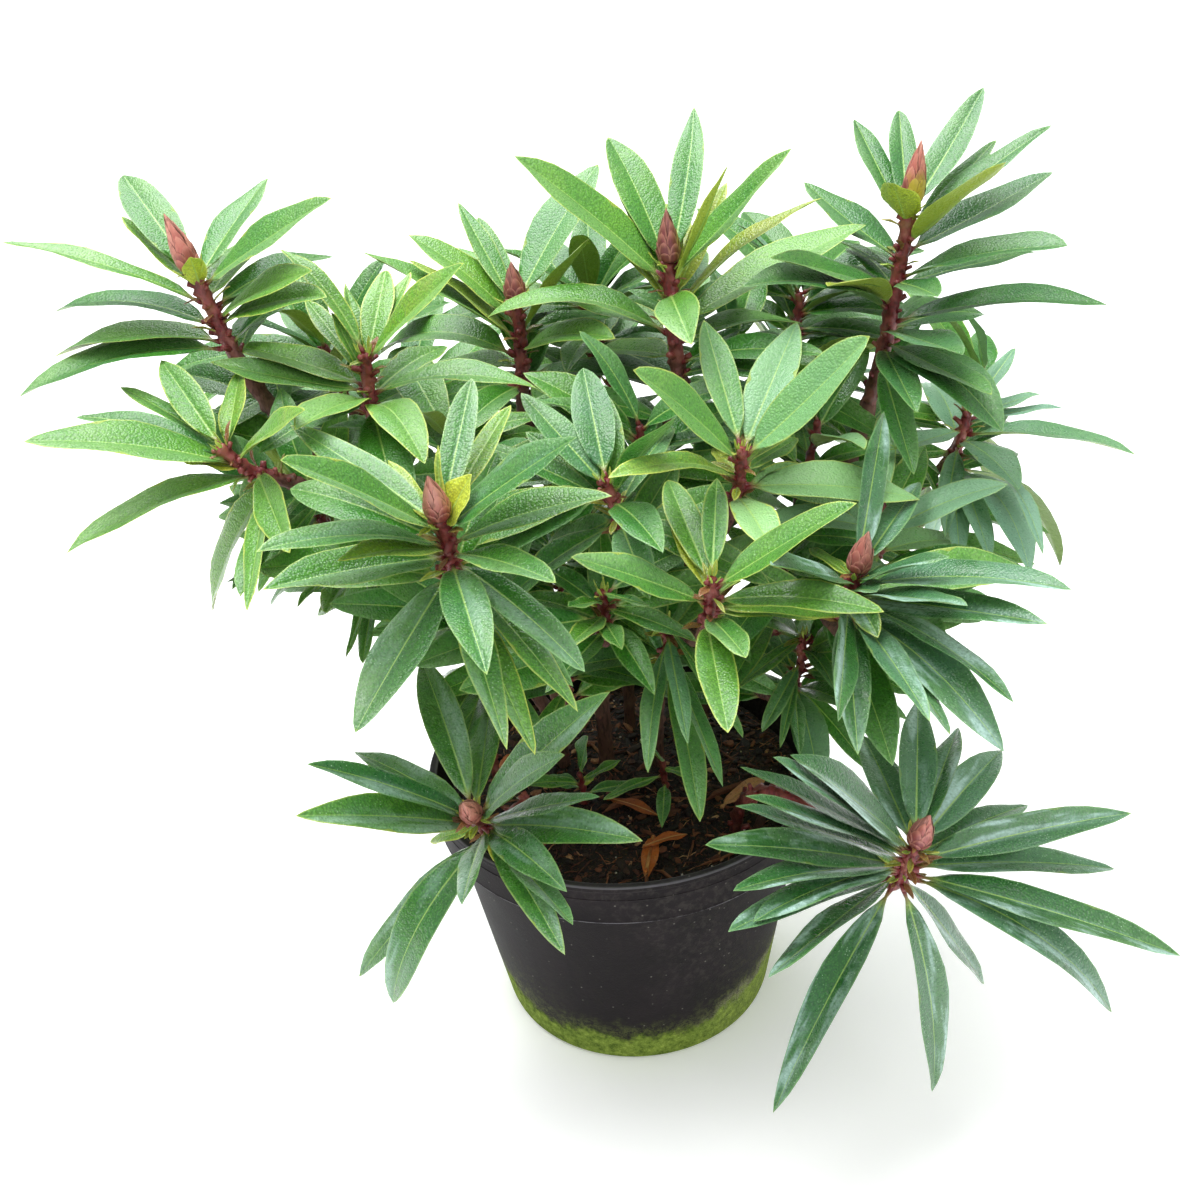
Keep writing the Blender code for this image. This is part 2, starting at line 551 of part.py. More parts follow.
class Leaf:
    """One leaf: the curve of its midrib, its upper side and its width."""

    def __init__(self, order, root, tip, sag, upper, width, sunk=0.0, plain=False):
        self.order = order
        self.sunk = sunk
        self.plain = plain
        self.root = root
        self.tip = tip
        self.sag = sag
        self.upper = upper
        self.width = width

    def frame(self, part):
        """Point, across and upper-side directions at a part of the midrib."""
        bend = self.root.lerp(self.tip, 0.5) + self.sag * 2.0
        point = bezier([self.root, bend, self.tip], part)
        along = (bend - self.root).lerp(self.tip - bend, part).normalized()
        across = along.cross(self.upper).normalized()
        return point, across, across.cross(along)

    def section(self, part, half, thick, fold):
        """Left edge, top, right edge and bottom of the leaf at a part of the midrib."""
        point, across, upper = self.frame(part)
        lift = upper * (half * fold)
        return [point - across * half + lift, point + upper * thick,
                point + across * half + lift, point - upper * thick]

    def solid(self, swell=0.0, start=0.0):
        """Corners and triangles of the leaf body, grown by swell, from a part of the midrib on."""
        rings = []
        for part in LEAF_STATIONS[1:] if self.plain else LEAF_STATIONS:
            place = PETIOLE_PART + (1.0 - PETIOLE_PART) * part
            half = max(leaf_half_width(part) * self.width, PETIOLE_HALF) + swell
            thick = (LEAF_HALF_THICK if part > 0 else PETIOLE_HALF) + swell
            if place >= start:
                rings.append(self.section(place, half, thick, FOLD if part > 0 else 0.0))
        corners = [corner for ring in rings for corner in ring]
        end = self.frame(1.0)[0]
        corners.append(end + (end - self.frame(0.95)[0]).normalized() * swell)
        inward = (self.root - self.frame(PETIOLE_PART)[0]).normalized() * self.sunk
        corners.append(self.root + inward if start < PETIOLE_PART else self.frame(start - 0.05)[0])
        return corners, leaf_triangles(len(rings))


def leaf_triangles(rings):
    """Triangles of a leaf body that runs to a point at both ends; both faces are split alike."""
    triangles = []
    for low in range(0, (rings - 1) * 4, 4):
        for a, b in ((0, 1), (2, 3)):
            triangles += [(low + a, low + b, low + 4 + b), (low + a, low + 4 + b, low + 4 + a)]
        for a, b in ((1, 2), (3, 0)):
            triangles += [(low + a, low + b, low + 4 + a), (low + b, low + 4 + b, low + 4 + a)]
    last = (rings - 1) * 4
    tip, root = rings * 4, rings * 4 + 1
    for a, b in ((0, 1), (1, 2), (2, 3), (3, 0)):
        triangles += [(last + a, last + b, tip), (b, a, root)]
    return triangles


# Placing leaves.
def tree_of(corners, triangles):
    return BVHTree.FromPolygons(corners, triangles)


def box_of(corners, room=0.0):
    low = [min(c[i] for c in corners) - room for i in range(3)]
    high = [max(c[i] for c in corners) + room for i in range(3)]
    return low, high


def boxes_meet(a, b):
    return all(a[0][i] <= b[1][i] and b[0][i] <= a[1][i] for i in range(3))


class Obstacles:
    """Bodies already placed, each with an owner that is let through."""

    def __init__(self):
        self.bodies = []

    def add(self, owner, corners, triangles):
        self.bodies.append((owner, box_of(corners), tree_of(corners, triangles)))

    def hit(self, corners, triangles, passing=()):
        box = box_of(corners)
        tree = None
        for owner, other_box, other in self.bodies:
            if owner in passing or not boxes_meet(box, other_box):
                continue
            tree = tree or tree_of(corners, triangles)
            if tree.overlap(other):
                return True
        return False


def tip_choices(root, line, length):
    """The near and far points of a sight line at a given distance from the root."""
    back = EYE - root
    b = back.dot(line)
    rest = b * b - back.dot(back) + length * length
    if rest <= 0.0:
        return [EYE - line * b]
    return [EYE - line * (b + math.sqrt(rest)), EYE - line * (b - math.sqrt(rest))]


def skyward_side(root, tip, axis):
    """The upper side of a leaf between two points: towards the stem's end and the sky."""
    chord = (tip - root).normalized()
    skyward = axis * 0.65 + Vector((0, 0, 0.45))
    return (skyward - chord * skyward.dot(chord)).normalized()


def misfit(root, tip, axis, lean, below):
    """How far a tip is from the usual lean of its leaf, and from showing the side that is seen."""
    faces_eye = skyward_side(root, tip, axis).dot(EYE - root.lerp(tip, 0.5)) > 0.0
    grounded = 2.0 if tip.z < 0.02 else 0.0
    return abs((tip - root).angle(axis) - lean) + grounded + (TURNED_AWAY if faces_eye == below else 0.0)


def leaf_shape(root, tip, axis, seen_width, seen_rise, usual):
    """Sag, upper side and width that look as wide and as bowed from the eye as the reading."""
    chord = (tip - root).normalized()
    length = (tip - root).length
    view = (root.lerp(tip, 0.5) - EYE)
    scale = view.dot(EYE_FORWARD) / FOCAL_PIXELS
    view.normalize()
    upper = skyward_side(root, tip, axis)
    side = chord.cross(view).normalized()
    if side.dot(EYE_UP) < 0.0:
        side = -side
    facing = side.cross(chord)
    if facing.dot(view) > 0.0:
        facing = -facing
    shown = upper.dot(facing)
    lean = upper.dot(side)
    broadest = usual * (BROAD_YOUNG_LEAF if usual < YOUNG_LEAF else BROAD_LEAF)
    slimmest = usual * (THIN_LEAF if seen_width <= THIN_SEEN else NARROW_LEAF)
    width = min(max(seen_width * scale / max(abs(shown), 0.3), slimmest), broadest)
    wanted = min(max(seen_width * scale / width, 0.12), 1.0)
    turned = math.copysign(wanted, shown)
    turned_lean = math.copysign(math.sqrt(1.0 - wanted * wanted), lean)
    new_upper = facing * turned + side * turned_lean
    upper = upper.lerp(new_upper, 0.8).normalized()
    rise = seen_rise * scale
    slant = upper.dot(side)
    if abs(slant) > 0.45 and seen_rise:
        sag = upper * min(max(rise / slant, -0.02 * length), 0.20 * length)
    else:
        sag = upper * (0.055 * length)
        extra = rise - sag.dot(side)
        sag = sag + side * min(max(extra, -0.05 * length), 0.05 * length)
    return sag, upper, width


def attach_points(stem, spec_leaves, leafy):
    """Where each listed leaf joins the stem: high tips join high, low tips join low."""
    order = sorted(range(len(spec_leaves)), key=lambda i: (spec_leaves[i][1], spec_leaves[i][0]))
    places = {}
    for rank, index in enumerate(order):
        part = 0.05 + leafy * rank / max(len(order) - 1, 1)
        if len(spec_leaves[index]) > 5:
            part = spec_leaves[index][5]
        places[index] = (part, rank / max(len(order) - 1, 1))
    return places


def legal(leaf, shoot, obstacles, sisters):
    """True when a leaf clears the ground and all other bodies, and its blade its sisters on the shoot."""
    corners, triangles = leaf.solid(CLEARANCE)
    if min(c.z for c in corners) < FLOOR_CLEAR:
        return False
    if obstacles.hit(corners, triangles, passing=(shoot,)):
        return False
    blades, bodies = sisters
    return not blades.hit(*leaf.solid(SISTER_GAP)) and not bodies.hit(*leaf.solid(SISTER_GAP, SISTER_START))


def trials():
    """Small changes tried in turn: depth shift, picture shift x and y, sag change, size change."""
    steps = [(0.0, 0.0, 0.0, 0.0, 1.0)]
    for size in (1.0, 0.94, 0.86):
        for reach in range(1, 9):
            shift = 0.0045 * reach
            steps += [(shift, 0, 0, 0, size), (-shift, 0, 0, 0, size)]
            steps += [(shift, 0, 0, 0.03, size), (-shift, 0, 0, 0.03, size), (0, 0, 0, 0.012 * reach, size)]
            wide = 2.4 * reach
            for turn in (0.3, 1.9, 3.5, 5.0):
                steps.append((shift * 0.5, wide * math.cos(turn), wide * math.sin(turn), 0.01, size))
                steps.append((-shift * 0.7, wide * math.cos(turn + 1), wide * math.sin(turn + 1), 0, size))
    return steps


TRIALS = trials()


def place_seen_leaf(shoot, index, spec, place, stem, obstacles, sisters):
    """The first change of one listed leaf that is clear of everything, or None."""
    tip_x, tip_y, seen_width, seen_rise, size = spec["leaves"][index][:5]
    part, rank = place
    root, down = path_point(stem, part)
    axis = -down
    lean = math.radians(34.0 + 72.0 * rank)
    sunk = 0.5 * shoot_radii(shoot)[0]
    below = (tip_x, tip_y) in SEEN_FROM_BELOW.get(shoot, ())
    for depth, shift_x, shift_y, sag_change, scale in TRIALS:
        line = sight_line(tip_x + shift_x, tip_y + shift_y)
        length = spec["length"] * size * scale
        options = tip_choices(root, line, length)
        options.sort(key=lambda option: misfit(root, option, axis, lean, below))
        pick = LEANING.get(shoot, {}).get((tip_x, tip_y))
        if pick:
            options = [pick(options, key=lambda option: option.y)]
        for tip in options[:1] if abs(depth) < FIRST_SHIFT else options:
            tip = tip + line * depth
            if (tip - root).length > spec["length"] * 1.35:
                continue
            sag, upper, width = leaf_shape(root, tip, axis, seen_width, seen_rise, (tip - root).length)
            sag = sag + upper * (sag_change * length)
            leaf = Leaf(index, root, tip, sag, upper, width * (0.5 + 0.5 * scale), sunk, seen_width < SLIM_LEAF)
            if legal(leaf, shoot, obstacles, sisters):
                return leaf
    return None


def place_rule_leaf(shoot, index, rank, spec, stem, rng, obstacles, sisters):
    """A leaf not read from the picture, spaced round the stem by the golden angle."""
    root, down = path_point(stem, 0.05 + 0.70 * rank)
    axis = -down
    side = axis.orthogonal().normalized()
    fore = axis.cross(side)
    start = index * GOLDEN_ANGLE + rng.uniform(-0.2, 0.2) + rng.uniform(0.0, 6.0) * (index == 0)
    length = spec["length"] * rng.uniform(0.80, 1.08) * (0.75 + 0.25 * min(rank * 2.0, 1.0))
    lean = math.radians(38.0 + 62.0 * rank + rng.uniform(-8.0, 8.0))
    width = length * rng.uniform(0.23, 0.30)
    sunk = 0.5 * shoot_radii(shoot)[0]
    for attempt in range(90):
        turn = start + 0.11 * attempt * (-1) ** attempt
        tilt = lean + 0.03 * (attempt % 7) * (-1) ** (attempt // 2)
        out = side * math.cos(turn) + fore * math.sin(turn)
        heading = axis * math.cos(tilt) + out * math.sin(tilt)
        reach = length * (1.0 - 0.005 * attempt)
        tip = root + heading * reach - Vector((0, 0, 0.12 * reach * rank))
        upper = skyward_side(root, tip, axis)
        leaf = Leaf(index, root, tip, upper * (0.07 * reach), upper, width, sunk, True)
        if not inside_outline(tip) or not inside_outline(leaf.frame(0.6)[0]):
            continue
        if legal(leaf, shoot, obstacles, sisters):
            return leaf
    return None


def plan_leaves(stems, obstacles):
    """Every leaf of every shoot, placed shoot by shoot, with the names of any left out."""
    leaves = {name: [] for name in stems}
    left_out = []
    for number, (name, spec) in enumerate(list(SHOOTS.items()) + list(FAR_SHOOTS.items())):
        blades, bodies = Obstacles(), Obstacles()
        bodies.add(name, *shoot_stem(name, stems[name]))
        listed = spec.get("leaves", ())
        extra = spec.get("more", FAR_LEAVES)
        stem = stems[name][:len(spec["stem"])] if name in SHOOTS else stems[name]
        places = attach_points(stem, listed, 0.72)
        rng = random.Random(41 + number)
        for index in range(len(listed) + extra):
            if index < len(listed):
                leaf = place_seen_leaf(name, index, spec, places[index], stem, obstacles,
                                       (blades, bodies))
            else:
                rank = (index - len(listed)) / max(extra - 1, 1)
                if listed:
                    rank = 0.5 + 0.5 * rank
                leaf = place_rule_leaf(name, index, rank, spec, stem, rng, obstacles, (blades, bodies))
            if leaf is None:
                left_out.append((name, index))
                continue
            leaves[name].append(leaf)
            blades.add(name, *leaf.solid(0.0, SISTER_START))
            bodies.add(name, *leaf.solid())
        for leaf in leaves[name]:
            obstacles.add(name, *leaf.solid())
    return leaves, left_out


# Plain bodies as corners and triangles.
def body_of(obj):
    """Corners and triangles of an object as its curve or modifiers leave it; the object is removed."""
    bpy.context.scene.collection.objects.link(obj)
    graph = bpy.context.evaluated_depsgraph_get()
    mesh = bpy.data.meshes.new_from_object(obj.evaluated_get(graph), depsgraph=graph)
    bpy.data.objects.remove(obj, do_unlink=True)
    body = bmesh.new()
    body.from_mesh(mesh)
    bpy.data.meshes.remove(mesh)
    bmesh.ops.remove_doubles(body, verts=body.verts, dist=WELD)
    bmesh.ops.triangulate(body, faces=body.faces)
    body.verts.index_update()
    corners = [corner.co.copy() for corner in body.verts]
    triangles = [tuple(corner.index for corner in face.verts) for face in body.faces]
    body.free()
    return corners, triangles


def tube(points, radii, rounding=1):
    """A closed tube through the points, with a radius at each; rounding 0 gives four sides, 1 gives six."""
    curve = bpy.data.curves.new("tube", "CURVE")
    curve.dimensions = "3D"
    curve.bevel_depth = 1.0
    curve.bevel_resolution = rounding
    curve.use_fill_caps = True
    spline = curve.splines.new("POLY")
    spline.points.add(len(points) - 1)
    for knot, point, radius in zip(spline.points, points, radii):
        knot.co = (*point, 1.0)
        knot.radius = radius
    return body_of(bpy.data.objects.new("tube", curve))


def shoot_stem(name, points):
    """The stem of a shoot, growing thicker from its top to its foot."""
    top, foot = shoot_radii(name)
    last = len(points) - 1
    return tube(points, [top + (foot - top) * min(i / min(last, 4), 1.0) for i in range(last + 1)], 0)


def turned(profile, steps):
    """A body turned about the z axis; its profile starts and ends there and runs down its outer side."""
    mesh = bpy.data.meshes.new("turned")
    links = [(i, i + 1) for i in range(len(profile) - 1)]
    mesh.from_pydata([(radius, 0.0, z) for radius, z in profile], links, [])
    obj = bpy.data.objects.new("turned", mesh)
    turn = obj.modifiers.new("turn", "SCREW")
    turn.steps = steps
    turn.render_steps = steps
    turn.use_merge_vertices = True
    turn.merge_threshold = WELD
    return body_of(obj)


BUD_PROFILE = ((0.0, 0.40), (0.15, 0.90), (0.36, 1.0), (0.68, 0.58), (1.0, 0.06))


def bud_body(base, axis, length, radius):
    """A pointed oval bud standing on the stem end."""
    points = [base + axis * (GAP + length * part) for part, _ in BUD_PROFILE]
    return tube(points, [radius * size for _, size in BUD_PROFILE])


def bud_direction(stem):
    return (stem[0] - stem[1]).normalized()


def bud_radius(length):
    return min(0.30 * length, 0.0062)


def soil_height(x, y):
    """Uneven soil surface."""
    waves = math.sin(61.0 * x + 1.3) * math.cos(53.0 * y - 0.4) + 0.6 * math.sin(97.0 * (x - y) + 0.7)
    return SOIL_LEVEL + SOIL_BUMP * waves


def pot_radius(z):
    """Inner radius of the pot at a height."""
    outer = BASE_RADIUS + (RIM_RADIUS - RIM_STEP - BASE_RADIUS) * z / POT_HEIGHT
    return outer - POT_WALL


def pot_body():
    """Wall and floor of the pot: up the inner side, over the rim and down the outer side."""
    band_low = POT_HEIGHT - RIM_BAND
    return turned((
        (0.0, POT_FLOOR), (pot_radius(POT_FLOOR), POT_FLOOR), (pot_radius(band_low), band_low),
        (RIM_RADIUS - 0.0046, POT_HEIGHT), (RIM_RADIUS, POT_HEIGHT), (RIM_RADIUS, POT_HEIGHT - 0.0036),
        (RIM_RADIUS - 0.0018, POT_HEIGHT - 0.0050), (RIM_RADIUS - 0.0030, band_low + 0.0006),
        (pot_radius(band_low) + POT_WALL, band_low), (BASE_RADIUS, 0.003), (BASE_RADIUS - 0.003, 0.0),
        (0.0, 0.0),
    ), POT_SEGMENTS)


def soil_body():
    """Soil filling the pot, with an uneven top."""
    edge = pot_radius(SOIL_LEVEL) - GAP * 2.0
    foot = pot_radius(POT_FLOOR) - GAP * 2.0
    top = [(radius, SOIL_LEVEL) for radius in (0.0, *SOIL_RINGS, edge)]
    corners, triangles = turned((*top, (foot, POT_FLOOR + GAP), (0.0, POT_FLOOR + GAP)), SOIL_SEGMENTS)
    for corner in corners:
        if corner.z > SOIL_LEVEL - WELD and math.hypot(corner.x, corner.y) < edge - GAP:
            corner.z = soil_height(corner.x, corner.y)
    return corners, triangles


def fallen_leaf(spec, lift):
    """A curled dry leaf lying at a height above the soil."""
    x, y, heading, length, width = spec
    along = Vector((math.cos(math.radians(heading)), math.sin(math.radians(heading)), 0.0))
    centre = Vector((x, y, lift))
    root = centre - along * (length * 0.5)
    tip = centre + along * (length * 0.5)
    return Leaf(0, root, tip, Vector((0, 0, length * 0.05)), Vector((0, 0, 1)), width)


def settled_leaf(spec, obstacles):
    """The lowest place of a dry leaf at which it clears the soil and stems."""
    lift = SOIL_LEVEL
    while obstacles.hit(*fallen_leaf(spec, lift).solid(GAP)):
        lift += 0.0003
    return fallen_leaf(spec, lift)


# Plan of the whole plant.
def plan_plant():
    """Stems, branches, buds, dry leaves and leaves, with every body clear of the others."""
    stems = plan_stems()
    branches = plan_branches(stems)
    obstacles = Obstacles()
    obstacles.add("pot", *pot_body())
    obstacles.add("soil", *soil_body())
    for name, points in stems.items():
        obstacles.add(name, *shoot_stem(name, points))
    for name, tubes in branches.items():
        for number, (points, radii) in enumerate(tubes):
            obstacles.add(name, *tube(points, radii, 1 if number == 0 else 0))
    buds = {}
    for name, spec in SHOOTS.items():
        if spec["bud"]:
            body = bud_body(stems[name][0], bud_direction(stems[name]), spec["bud"], bud_radius(spec["bud"]))
            buds[name] = body
            obstacles.add("bud_" + name, *body)
    dry = {}
    for name, spec in FALLEN.items():
        dry[name] = settled_leaf(spec, obstacles)
        obstacles.add(name, *dry[name].solid())
    leaves, left_out = plan_leaves(stems, obstacles)
    return dict(stems=stems, branches=branches, buds=buds, dry=dry, leaves=leaves, left_out=left_out)


# Blender objects.
def clear_file():
    for obj in list(bpy.data.objects):
        bpy.data.objects.remove(obj, do_unlink=True)


def material(name):
    """One plain material of a named colour."""
    found = bpy.data.materials.get(name)
    if found:
        return found
    made = bpy.data.materials.new(name)
    made.use_nodes = True
    shader = made.node_tree.nodes["Principled BSDF"]
    shader.inputs["Base Color"].default_value = COLOURS[name.split("_")[0]]
    shader.inputs["Roughness"].default_value = 0.55
    made.diffuse_color = COLOURS[name.split("_")[0]]
    return made


def new_object(name, corners, faces, collection, colour):
    """A mesh object made from corners and faces."""
    mesh = bpy.data.meshes.new(name)
    body = bmesh.new()
    points = [body.verts.new(corner) for corner in corners]
    for face in faces:
        body.faces.new([points[i] for i in face])
    bmesh.ops.recalc_face_normals(body, faces=body.faces)
    body.to_mesh(mesh)
    body.free()
    mesh.materials.append(material(colour + "_" + name))
    obj = bpy.data.objects.new(name, mesh)
    collection.objects.link(obj)
    return obj


def new_collection(name):
    made = bpy.data.collections.new(name)
    bpy.context.scene.collection.children.link(made)
    return made


def apply_boolean(target, operation, tools, solver):
    """Join or cut a body with every object of a collection, then drop that collection."""
    step = target.modifiers.new(operation.lower(), "BOOLEAN")
    step.operation = operation
    step.operand_type = "COLLECTION"
    step.collection = tools
    step.solver = solver
    graph = bpy.context.evaluated_depsgraph_get()
    mesh = bpy.data.meshes.new_from_object(target.evaluated_get(graph), depsgraph=graph)
    target.modifiers.clear()
    old = target.data
    target.data = mesh
    mesh.name = target.name
    bpy.data.meshes.remove(old)
    for obj in list(tools.objects):
        bpy.data.objects.remove(obj, do_unlink=True)
    bpy.data.collections.remove(tools)


def new_cutter(tools, foot, radius, height, sides):
    """An upright prism standing on a point, for cutting a hole."""
    body = bmesh.new()
    bmesh.ops.create_cone(body, cap_ends=True, segments=sides, radius1=radius, radius2=radius, depth=height)
    mesh = bpy.data.meshes.new("cutter")
    body.to_mesh(mesh)
    body.free()
    cutter = bpy.data.objects.new("cutter", mesh)
    cutter.location = foot + Vector((0, 0, height * 0.5))
    cutter.hide_render = True
    cutter.display_type = "WIRE"
    tools.objects.link(cutter)


def build_pot(parts):
    """Pot with a ring of drainage holes through its floor."""
    pot = new_object("pot", *pot_body(), parts, "pot")
    tools = new_collection("cutters")
    for k in range(DRAIN_HOLES):
        turn = 2.0 * math.pi * (k + 0.5) / DRAIN_HOLES
        foot = Vector((DRAIN_RING * math.cos(turn), DRAIN_RING * math.sin(turn), -POT_FLOOR))
        new_cutter(tools, foot, DRAIN_RADIUS, POT_FLOOR * 3.0, 8)
    apply_boolean(pot, "DIFFERENCE", tools, "EXACT")


def build_soil(parts, plan):
    """Soil with a plain hole for each stem that stands in it."""
    soil = new_object("soil", *soil_body(), parts, "soil")
    tools = new_collection("cutters")
    standing = [(tubes[0][0][0], tubes[0][1][0]) for tubes in plan["branches"].values()]
    standing += [(plan["stems"][name][-1], shoot_radii(name)[1]) for name in (*ARCHED, *UPRIGHT)]
    for foot, radius in standing:
        hole = (radius + GAP) / math.cos(math.pi / 6.0)
        new_cutter(tools, foot - Vector((0, 0, GAP)), hole, STEM_SOCKET + HOLE_RISE, 6)
    apply_boolean(soil, "DIFFERENCE", tools, "EXACT")


def build_woody_stems(parts, plan):
    for name, tubes in plan["branches"].items():
        stem = new_object(name, *tube(*tubes[0]), parts, "wood")
        tools = new_collection("join_" + name)
        for number, branch in enumerate(tubes[1:]):
            new_object(f"{name}_branch_{number}", *tube(*branch, 0), tools, "wood")
        apply_boolean(stem, "UNION", tools, "MANIFOLD")


def build_shoots(parts, plan):
    for name, points in plan["stems"].items():
        shoot = new_object("shoot_" + name, *shoot_stem(name, points), parts, "leaf")
        tools = new_collection("join_" + name)
        for leaf in plan["leaves"][name]:
            new_object(f"leaf_{name}_{leaf.order}", *leaf.solid(), tools, "leaf")
        apply_boolean(shoot, "UNION", tools, "MANIFOLD")


def build_small_parts(parts, plan):
    for name, body in plan["buds"].items():
        new_object("bud_" + name, *body, parts, "bud")
    for name, leaf in plan["dry"].items():
        new_object(name, *leaf.solid(), parts, "dry")


def main():
    clear_file()
    parts = new_collection(OBJECT_NAME)
    plan = plan_plant()
    build_pot(parts)
    build_soil(parts, plan)
    build_woody_stems(parts, plan)
    build_shoots(parts, plan)
    build_small_parts(parts, plan)
    kept = sum(len(group) for group in plan["leaves"].values())
    print("leaves", kept, "left out", plan["left_out"])


main()
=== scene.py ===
"""Rhododendron in a black plastic nursery pot, made in full detail over its CAD frame.

Leaves take their place, bend and width from the leaf bodies of the CAD shoots, and stems follow the
same centre lines as the CAD stems.  Metres, +Z up, pot standing on z = 0.
"""

import collections
import math
import random

import bmesh
import bpy
from mathutils import Matrix, Vector, noise
from mathutils.bvhtree import BVHTree


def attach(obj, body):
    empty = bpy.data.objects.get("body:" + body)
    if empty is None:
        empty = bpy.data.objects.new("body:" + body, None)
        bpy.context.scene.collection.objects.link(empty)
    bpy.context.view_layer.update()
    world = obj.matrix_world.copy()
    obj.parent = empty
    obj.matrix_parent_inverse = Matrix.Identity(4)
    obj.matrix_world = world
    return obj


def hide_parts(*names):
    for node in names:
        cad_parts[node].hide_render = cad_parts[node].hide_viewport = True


bl_info = {
    "name": "Potted Rhododendron",
    "version": (1, 0, 0),
    "blender": (4, 5, 0),
    "location": "3D View > Sidebar > Rhododendron",
    "description": "Builds a potted rhododendron with its leaves, buds, soil and pot",
    "category": "Add Mesh",
}

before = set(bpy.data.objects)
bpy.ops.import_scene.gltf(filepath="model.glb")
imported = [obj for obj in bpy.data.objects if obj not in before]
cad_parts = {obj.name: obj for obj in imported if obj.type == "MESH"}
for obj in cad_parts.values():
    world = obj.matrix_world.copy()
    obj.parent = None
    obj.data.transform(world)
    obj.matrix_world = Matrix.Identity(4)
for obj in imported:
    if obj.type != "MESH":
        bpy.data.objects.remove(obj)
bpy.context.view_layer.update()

# The eye that the leaf places were read from.
PICTURE_CENTRE = 600.0
FOCAL_PIXELS = 1400.0
PICTURE_PIXELS = 1200.0
SENSOR_WIDTH = 36.0
EYE = Vector((-0.007, -0.652, 0.642))
LOOK_AT = Vector((-0.007, 0.0, 0.264))
EYE_ROLL = math.radians(-4.3)

# Pot and soil, as in the CAD model.
POT_HEIGHT = 0.160
RIM_RADIUS = 0.1125
RIM_BAND = 0.027
BASE_RADIUS = 0.081
POT_WALL = 0.0022
POT_FLOOR = 0.0030
RIM_STEP = 0.0055
DRAIN_HOLES = 6
DRAIN_RADIUS = 0.0065
DRAIN_RING = 0.060
CORNER_ROUND = 0.0006
CORNER_POINTS = 4
GAP = 0.0003
SOIL_LEVEL = 0.1395
SOIL_BUMP = 0.0016
SOIL_RINGS = 44
SOIL_STEPS = 150
SOIL_WELD = 0.00002

# Stems: how deep they stand in the soil and in each other, and how what grows on them is spaced.
STEM_SOCKET = 0.020
BRANCH_SUNK = 0.005
STUB_REACH = 0.110
STUB_STEP = 0.0033
STRAP_ZONE = 0.036
STRAPS = 9
ARCHED_STRAPS = 22
BUD_BRACTS = 5
TIP_BRACTS = 7
STUB_SIZES = (0.0, 1.35, 1.0, 0.9, 0.0)
SCAR_STEP = 0.0030
FEWEST_SCARS = 5
BRANCH_SCAR_STEP = 0.010
FEWEST_BRANCH_SCARS = 3
TRUNK_SCARS = 12
TRUNK_SIDES = 14
BRANCH_SIDES = 10
YOUNG_SIDES = 12
YOUNG_SLIM = 0.84
YOUNG_TOP = 0.8
STEM_MATERIAL = 1
BARE_TIP = 0.006

# Stem of each seen shoot from its bud down, as picture x, y and depth; then its radius at top and foot.
SHOOT_STEMS = {
    "O": (((917, 843, -0.142), (906, 866, -0.138), (893, 884, -0.126)), (0.0032, 0.0038)),
    "N": (((473, 815, -0.112), (484, 828, -0.100), (497, 834, -0.084)), (0.0031, 0.0037)),
    "D": (((440, 517, -0.112), (450, 550, -0.106), (456, 590, -0.096)), (0.0034, 0.0044)),
    "J": (((712, 578, -0.104), (711, 602, -0.100), (704, 632, -0.090)), (0.0027, 0.0034)),
    "H": (((742, 448, -0.044), (740, 478, -0.040), (732, 508, -0.032)), (0.0029, 0.0036)),
    "L": (((857, 570, -0.082), (849, 596, -0.080), (845, 624, -0.072)), (0.0030, 0.0037)),
    "G": (((911, 203, 0.056), (903, 250, 0.056), (893, 300, 0.056), (884, 348, 0.056),
           (868, 405, 0.054)), (0.0040, 0.0050)),
    "F": (((669, 262, 0.046), (671, 300, 0.046), (674, 338, 0.046), (681, 384, 0.045)),
          (0.0038, 0.0048)),
    "A": (((192, 270, 0.030), (214, 314, 0.030), (228, 342, 0.029), (246, 372, 0.027)),
          (0.0036, 0.0044)),
    "E": (((516, 300, 0.086), (520, 330, 0.086), (521, 360, 0.085), (523, 396, 0.083)),
          (0.0036, 0.0046)),
    "B": (((365, 354, 0.000), (368, 382, 0.002), (374, 424, 0.004)), (0.0031, 0.0040)),
    "C": (((219, 446, -0.036), (246, 468, -0.032), (294, 483, -0.026)), (0.0031, 0.0039)),
    "I": (((606, 480, -0.052), (614, 506, -0.048), (626, 536, -0.042)), (0.0026, 0.0032)),
    "M": (((968, 412, 0.082), (960, 440, 0.079), (944, 492, 0.072)), (0.0031, 0.0038)),
    "K": (((602, 590, -0.062), (604, 606, -0.060), (606, 640, -0.052)), (0.0018, 0.0024)),
    "S": (((666, 622, -0.058), (667, 640, -0.050), (668, 668, -0.040)), (0.0018, 0.0022)),
    "T": (((804, 636, -0.006), (800, 662, -0.002), (790, 700, 0.002)), (0.0018, 0.0022)),
    "V": (((352, 548, 0.034), (366, 566, 0.034), (388, 590, 0.034)), (0.0018, 0.0023)),
    "U": (((470, 640, -0.010), (476, 664, -0.006), (486, 700, 0.000)), (0.0018, 0.0023)),
    "Q": (((662, 758, -0.018), (663, 770, -0.016), (666, 790, -0.012)), (0.0013, 0.0015)),
    "R": (((580, 772, -0.022), (582, 784, -0.020), (585, 802, -0.016)), (0.0013, 0.0015)),
    "P": (((884, 505, -0.022), (882, 530, -0.016), (872, 570, -0.004)), (0.0020, 0.0026)),
}
